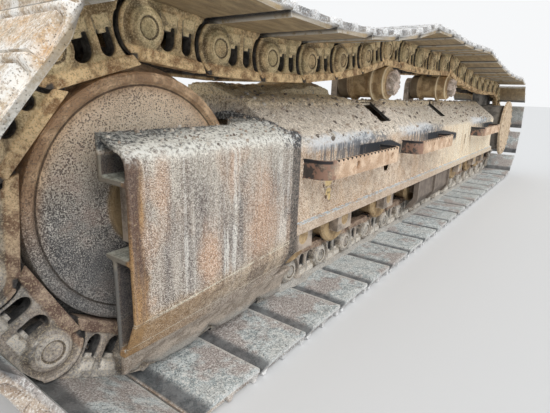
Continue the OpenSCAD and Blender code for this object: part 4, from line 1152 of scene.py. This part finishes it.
def hanging_clay(x):
    """Hangs from the nose's lower edge, shorter over each seam and where the loop turns up."""
    links_side, front_side, lowest, highest, nose_foot, belly = 0.128, 0.15, 0.06, 0.118, 0.174, 0.13
    rise_start = 2.055
    seam = min(abs(x - pin.x) for pin in pins if pin.y < 0.2)
    wave = noise.noise(Vector((x * 16, 0, 0)))
    foot = lowest + 0.026 * max(0.0, 1 - seam / 0.05) + 0.006 * wave + 0.9 * max(0.0, x - rise_start)
    foot = min(foot, highest)
    out = front_side + 0.049 * clamped((nose_high.x - x) / 0.05)
    inner = links_side + 0.7 * max(0.0, x - rise_start - 0.005)
    reach = max(0.146 + 0.004 * wave, inner + 0.012)
    return rounded_section([(out, nose_foot), (out - 0.001, nose_foot - 0.008), (0.5 * (out + reach), belly),
                            (reach, foot + 0.006), (reach - 0.008, foot), (inner, foot), (inner, belly),
                            (inner + 0.002, nose_foot - 0.002)], 5)


def foot_clay(x):
    """A low bank along the links' feet on the shoes, of changing height and reach."""
    inner, foot = 0.1, 0.03
    rise = 0.012 + 0.016 * noise.noise(Vector((x * 9, 2, 0))) + 0.01 * noise.noise(Vector((x * 31, 5, 0)))
    reach = max(0.0, 0.004 + 0.016 * noise.noise(Vector((x * 8, 9, 0))))
    top = 0.036 + max(0.0, rise)
    return rounded_section([(inner, top), (inner + 0.014, top), (0.124 + reach, foot + 0.008),
                            (0.126 + reach, foot), (inner, foot)], 4)


def clay():
    f = Finish("clay")
    clouds = f.grain(30, 5, 0.65)
    grit = f.grain(330, 3, 0.8)
    z, tone = f.axis("Z"), f.mark("tone")
    f.colour = clouds.tones(0.4, 0.6, (0.31, 0.245, 0.19), (0.56, 0.47, 0.385))
    f.coat((z + clouds.sway(0.05)).under(0.07, 0.11), (0.42, 0.405, 0.375))
    f.coat(tone.within(0.05, 0.06, 0.25, 0.32) * z.over(0.5, 0.52) * 0.85, (0.085, 0.07, 0.058))
    f.coat(f.near(z, 0.78, 0.06) * tone.under(0.0, 0.01) * clouds.over(0.42, 0.56) * 0.8, (0.74, 0.6, 0.52))
    f.coat(tone.over(0.6, 0.75) * 0.7, (0.76, 0.73, 0.66))
    f.coat(grit.over(0.53, 0.61) * 0.6, (0.8, 0.75, 0.68))
    f.coat(grit.under(0.38, 0.46) * 0.7, (0.13, 0.105, 0.09))
    return f.done(0.92, clouds + grit * 0.5, 0.003)


def crumbled_cap(node):
    """The dried grease and clay on a roller's outboard end, with grooves that fan out from its middle."""
    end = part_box(node)[1].y
    x, _, z = box_middle(node)
    profile = [(0.0, -0.004), (0.0535, -0.01), (0.0545, 0.004), (0.048, 0.013), (0.036, 0.02), (0.022, 0.024),
               (0.01, 0.025), (0.0, 0.024)]
    mesh = turned_ring([(radius, end + out) for radius, out in profile], x, z, segments=72, full=False)
    for vertex in mesh.vertices:
        across, up = vertex.co.x - x, vertex.co.z - z
        radius, angle = math.hypot(across, up), math.atan2(up, across)
        if vertex.co.y > end + 0.002 and radius > 0.004:
            groove = math.sin(angle * 13 + 2.5 * noise.noise(Vector((across, up, 3)) * 30))
            lump = noise.noise(vertex.co * 60)
            vertex.co.y += 0.0045 * groove * radius / 0.05 + 0.007 * lump
            swell = 1 + 0.05 * groove + 0.1 * lump
            vertex.co.x, vertex.co.z = x + across * swell, z + up * swell
    return mesh


clay_finish = clay()
for name in ("front", "rear"):
    made_object("roller_cap_" + name, crumbled_cap("carrier_roller_" + name), clay_finish)
roof, nose = ["track_frame", "leg_seat"], ["nose_outer", "cross_bar"]
roof_crust = crust(roof, (0.2, -0.21), (1.56, 0.212), 0.0062, thin_dirt(0.0012, 0.0045, 38, 95))
packed_crust = crust(roof, (0.86, -0.2), (1.556, 0.06), 0.006, packed_dirt)
nose_crust = crust(nose[:1], (nose_low.x + 0.02, 0.09), (nose_high.x - 0.004, 0.245), 0.0045,
                   thin_dirt(0.0008, 0.005, 30, 110))
roof_stones = clods(roof, (-1.5, -0.2), (1.55, 0.2), 3600, 0.0022, 0.011, 4)
nose_stones = clods(nose, (nose_low.x, 0.0), (nose_high.x - 0.01, 0.24), 700, 0.0018, 0.007, 5)
for name, mesh, finish, slot in (
        ("roof_dirt", roof_crust, frame_finish, "frame_steel"),
        ("packed_dirt", packed_crust, frame_finish, "frame_steel"),
        ("nose_dirt", nose_crust, nose_finish, "nose_steel"),
        ("roof_clods", roof_stones, clay_finish, "frame_steel"),
        ("nose_clods", nose_stones, clay_finish, "nose_steel"),
        ("nose_clay", mud_along(1.5, 2.104, hanging_clay, 0.0022), clay_finish, "frame_steel"),
        ("foot_clay", mud_along(-1.9, 1.45, foot_clay, 0.005), clay_finish, "chain_steel")):
    made_object(name, mesh, finish, smooth_angle=180)


# Weld beads
# Fillets of weld metal, rippled and a little uneven: along the foot of the frame's wall, and down both
# sides of each step's legs where they meet the wall.
def bead(start, end, radius):
    """A rippled rod of weld metal between two places."""
    ripple_length = 0.004
    way, length = (end - start).normalized(), (end - start).length
    side = way.orthogonal().normalized()
    other = way.cross(side)
    rings, sides, verts = int(length / ripple_length), 7, []
    for i in range(rings + 1):
        middle = start + way * (length * i / rings)
        swell = radius * (1 + 0.18 * math.sin(i * 1.9) + 0.35 * noise.noise(middle * 45))
        for k in range(sides):
            angle = 2 * math.pi * k / sides
            verts.append(middle + swell * (math.cos(angle) * side + math.sin(angle) * other))
    return rod(verts, rings + 1, sides)


wall_face = 0.205
flange_top_z = 0.321
flange_rear = -1.6
flange_front = 1.545
step_bar = 0.012
foot_bead = bead(
    Vector((flange_rear, wall_face, flange_top_z)), Vector((flange_front, wall_face, flange_top_z)), 0.0055)
made_object("flange_weld", foot_bead, frame_finish)
leg_beads = []
for low, high in step_boxes:
    for x in (low.x, low.x + step_bar, high.x - step_bar, high.x):
        leg_beads.append(bead(Vector((x, wall_face, low.z + 0.003)), Vector((x, wall_face, high.z - 0.003)), 0.0042))
made_object("step_welds", joined(leg_beads), frame_finish)


# Steps
# Flat bars bent back to the wall at both ends and welded on, with teeth along the top edge. The outer
# face rusts pink, and grease from boots lies dark in the rust of the bends. Painted shade darkens the
# inner face of each rear leg and the notches between the teeth.
def step_steel():
    f = Finish("step_steel")
    clouds = f.grain(16, 5, 0.6)
    blots = f.grain(34, 4, 0.7)
    fine = f.grain(340, 2, 0.8)
    x, y = f.axis("X"), f.axis("Y")
    f.colour = clouds.tones(0.4, 0.6, (0.54, 0.35, 0.22), (0.82, 0.61, 0.43))
    f.coat(blots.over(0.54, 0.64) * 0.6, (0.46, 0.235, 0.115))
    f.coat(fine.over(0.52, 0.61) * 0.5, (0.82, 0.7, 0.56))
    f.coat(fine.under(0.38, 0.47) * 0.5, (0.13, 0.078, 0.058))
    # Dark grease near the wall and pink rust further out. The same dark is also painted as shade on the rear legs.
    grease_and_shade = f.blend((blots + (y - 0.26) * 1.2).over(0.47, 0.55), (0.022, 0.025, 0.03), (0.26, 0.15, 0.108))
    for low, high in step_boxes:
        bend = (x + clouds.sway(0.12) + blots.sway(0.16)).over(high.x - 0.075, high.x - 0.01)
        bend = bend | (y + blots.sway(0.06)).under(0.25, 0.28) * x.over(high.x - 0.15, high.x - 0.14)
        f.coat(bend * x.under(high.x, high.x + 0.01) * 0.93, grease_and_shade)
        # Painted shade on the inner face of the step's rear leg.
        far_leg = y.under(0.268, 0.285) * x.within(low.x - 0.01, low.x, low.x + 0.13, low.x + 0.14)
        f.coat(far_leg * 0.93, grease_and_shade)
    top_z = step_boxes[0][1].z
    # Painted shade: the walls of the notches between the teeth are painted near-black.
    notch = f.axis("Z").over(top_z - 0.011, top_z - 0.009) * f.sideways().over(0.25, 0.45)
    f.coat(notch * 0.95, (0.012, 0.014, 0.018))
    f.coat(f.edges(0.003).over(0.04, 0.3) * 0.4, (0.6, 0.54, 0.48))
    return f.done(0.62 + fine * 0.3, clouds * 0.6 + fine * 0.4, 0.002)


step_finish = step_steel()
for node in step_nodes:
    worn_piece(node, "_bar", (0.002, 1, 14000, 0.0006), step_finish)


# Rollers, brackets and chain guards
# Forged rollers with polished treads, on shafts clamped in cast brackets under the flange. The guards
# are folded plate.
def dusty_finish(name, cloud_size, grit_size, tones, edge, rough, pale=None, dark=None, marks=None, cloudiness=0.6):
    """Cloudy tones of steel or paint with specks of grit, then marks of the piece's own, then worn edges."""
    f = Finish(name)
    clouds, grit = f.grain(cloud_size, 5, cloudiness), f.grain(grit_size, 3, 0.75)
    f.colour = clouds.tones(0.38, 0.6, *tones)
    for share, tone in ((grit.over(0.54, 0.66), pale), (grit.under(0.36, 0.46), dark)):
        if tone:
            f.coat(share * 0.5, tone)
    if marks:
        marks(f)
    radius, share, tone = edge
    f.coat(f.edges(radius).over(0.03, 0.3) * share, tone)
    return f.done(rough[0] + grit * rough[1], clouds * rough[2] + grit * 0.4, 0.002)


def roller_marks(f):
    """Pale rings on the treads, and dark grease at the inboard end."""
    along = f.axis("Y")
    for place in (0.11, 0.058):
        f.coat(f.near(along, place, 0.0022) * f.axis("Z").over(0.62, 0.66) * 0.85, (0.88, 0.74, 0.5))
    f.coat(along.under(-0.07, -0.06) * 0.8, (0.1, 0.075, 0.05))


def guard_marks(f):
    """The chain guard's set-back panel near the middle of the unit, painted darker as shade."""
    along = f.axis("X")
    guard = f.axis("Y").over(0.14, 0.146) * along.within(-0.3, -0.29, 0.325, 0.335)
    f.coat(guard * 0.75, (0.135, 0.108, 0.09))


roller_finish = dusty_finish(
    "roller_steel", 24, 330, ((0.33, 0.21, 0.1), (0.62, 0.45, 0.245)), edge=(0.005, 0.8, (0.72, 0.62, 0.46)),
    rough=(0.6, 0.3, 0.7), pale=(0.52, 0.46, 0.36), dark=(0.1, 0.065, 0.04), marks=roller_marks)
bracket_finish = dusty_finish(
    "bracket_steel", 20, 300, ((0.22, 0.18, 0.15), (0.52, 0.43, 0.35)), edge=(0.004, 0.6, (0.62, 0.57, 0.48)),
    rough=(0.8, 0.15, 0.6), pale=(0.66, 0.59, 0.5), marks=guard_marks)
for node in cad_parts:
    if node.startswith(("track_roller", "carrier_roller")):
        dressed(node, roller_finish)
    if node.startswith(("roller_brackets", "carrier_stand", "chain_guard", "idler_block", "idler_yoke")):
        dressed(node, bracket_finish)


# Final drive and pads
# Cast drum with a bolted cover, the sprocket's ring, the drive's bracket and motor, and the two pads
# that seat the unit on the machine's middle. Dusty old paint over steel.
def pad_paint():
    f = Finish("pad_paint")
    clouds = f.grain(12, 5, 0.6)
    grit = f.grain(300, 3, 0.75)
    f.colour = clouds.tones(0.4, 0.6, (0.44, 0.285, 0.07), (0.56, 0.4, 0.13))
    f.coat(clouds.under(0.36, 0.5) * 0.85, (0.22, 0.13, 0.07))
    f.coat(f.grain(32, 5, 0.7).over(0.42, 0.56) * 0.75, (0.46, 0.39, 0.3))
    f.coat(grit.over(0.54, 0.66) * 0.4, (0.55, 0.48, 0.36))
    f.coat(f.edges(0.004).over(0.03, 0.3) * 0.7, (0.4, 0.35, 0.3))
    return f.done(0.55 + grit * 0.3, clouds * 0.5 + grit * 0.3, 0.0015)


pad_finish = pad_paint()
drive_finish = dusty_finish(
    "drive_paint", 14, 300, ((0.12, 0.11, 0.1), (0.3, 0.275, 0.245)), edge=(0.005, 0.6, (0.55, 0.52, 0.47)),
    rough=(0.7, 0.2, 0.6), pale=(0.45, 0.41, 0.35))
cover_finish = dusty_finish(
    "cover_steel", 38, 320, ((0.46, 0.33, 0.205), (0.7, 0.56, 0.4)), edge=(0.004, 0.8, (0.62, 0.65, 0.66)),
    rough=(0.7, 0.2, 0.6), dark=(0.12, 0.08, 0.05), cloudiness=0.65)
for node in ("sprocket", "drive_hub", "drive_bracket", "travel_motor", "idler_shaft"):
    dressed(node, drive_finish)
dressed("drive_cover", cover_finish)


def bolt(radius, height):
    """A hexagon head with a washer under it, standing up from 0."""
    head, washer = round_arc(0, 0, radius, 0, 300, 5), round_arc(0, 0, 1.25 * radius, 0, 340, 17)
    return joined([prism([washer], -0.001, height * 0.2, along="Z"), prism([head], height * 0.2, height, along="Z")])


def bolt_ring(node, outward, ring, count, radius, height):
    """Bolts in a ring on a node's end across the track, heads outboard (1) or inboard (-1)."""
    x, _, z = box_middle(node)
    centre, places = Vector((x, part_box(node)[outward > 0].y, z)), []
    for k in range(count):
        angle = 2 * math.pi * (k + 0.5) / count
        spot = centre + Vector((ring * math.cos(angle), 0, ring * math.sin(angle)))
        places.append(Matrix.Translation(spot) @ Matrix.Rotation(-outward * math.pi / 2, 4, "X"))
    return repeated(bolt(radius, height), places)


cover_bolts = bolt_ring("drive_cover", 1, 0.205, 18, 0.0115, 0.01)
made_object("cover_bolts", cover_bolts, cover_finish)
motor_bolts = bolt_ring("travel_motor", -1, 0.08, 8, 0.01, 0.009)
made_object("motor_bolts", motor_bolts, drive_finish)
for node in ("pad_front", "pad_rear"):
    dressed(node, pad_finish)

low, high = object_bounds()
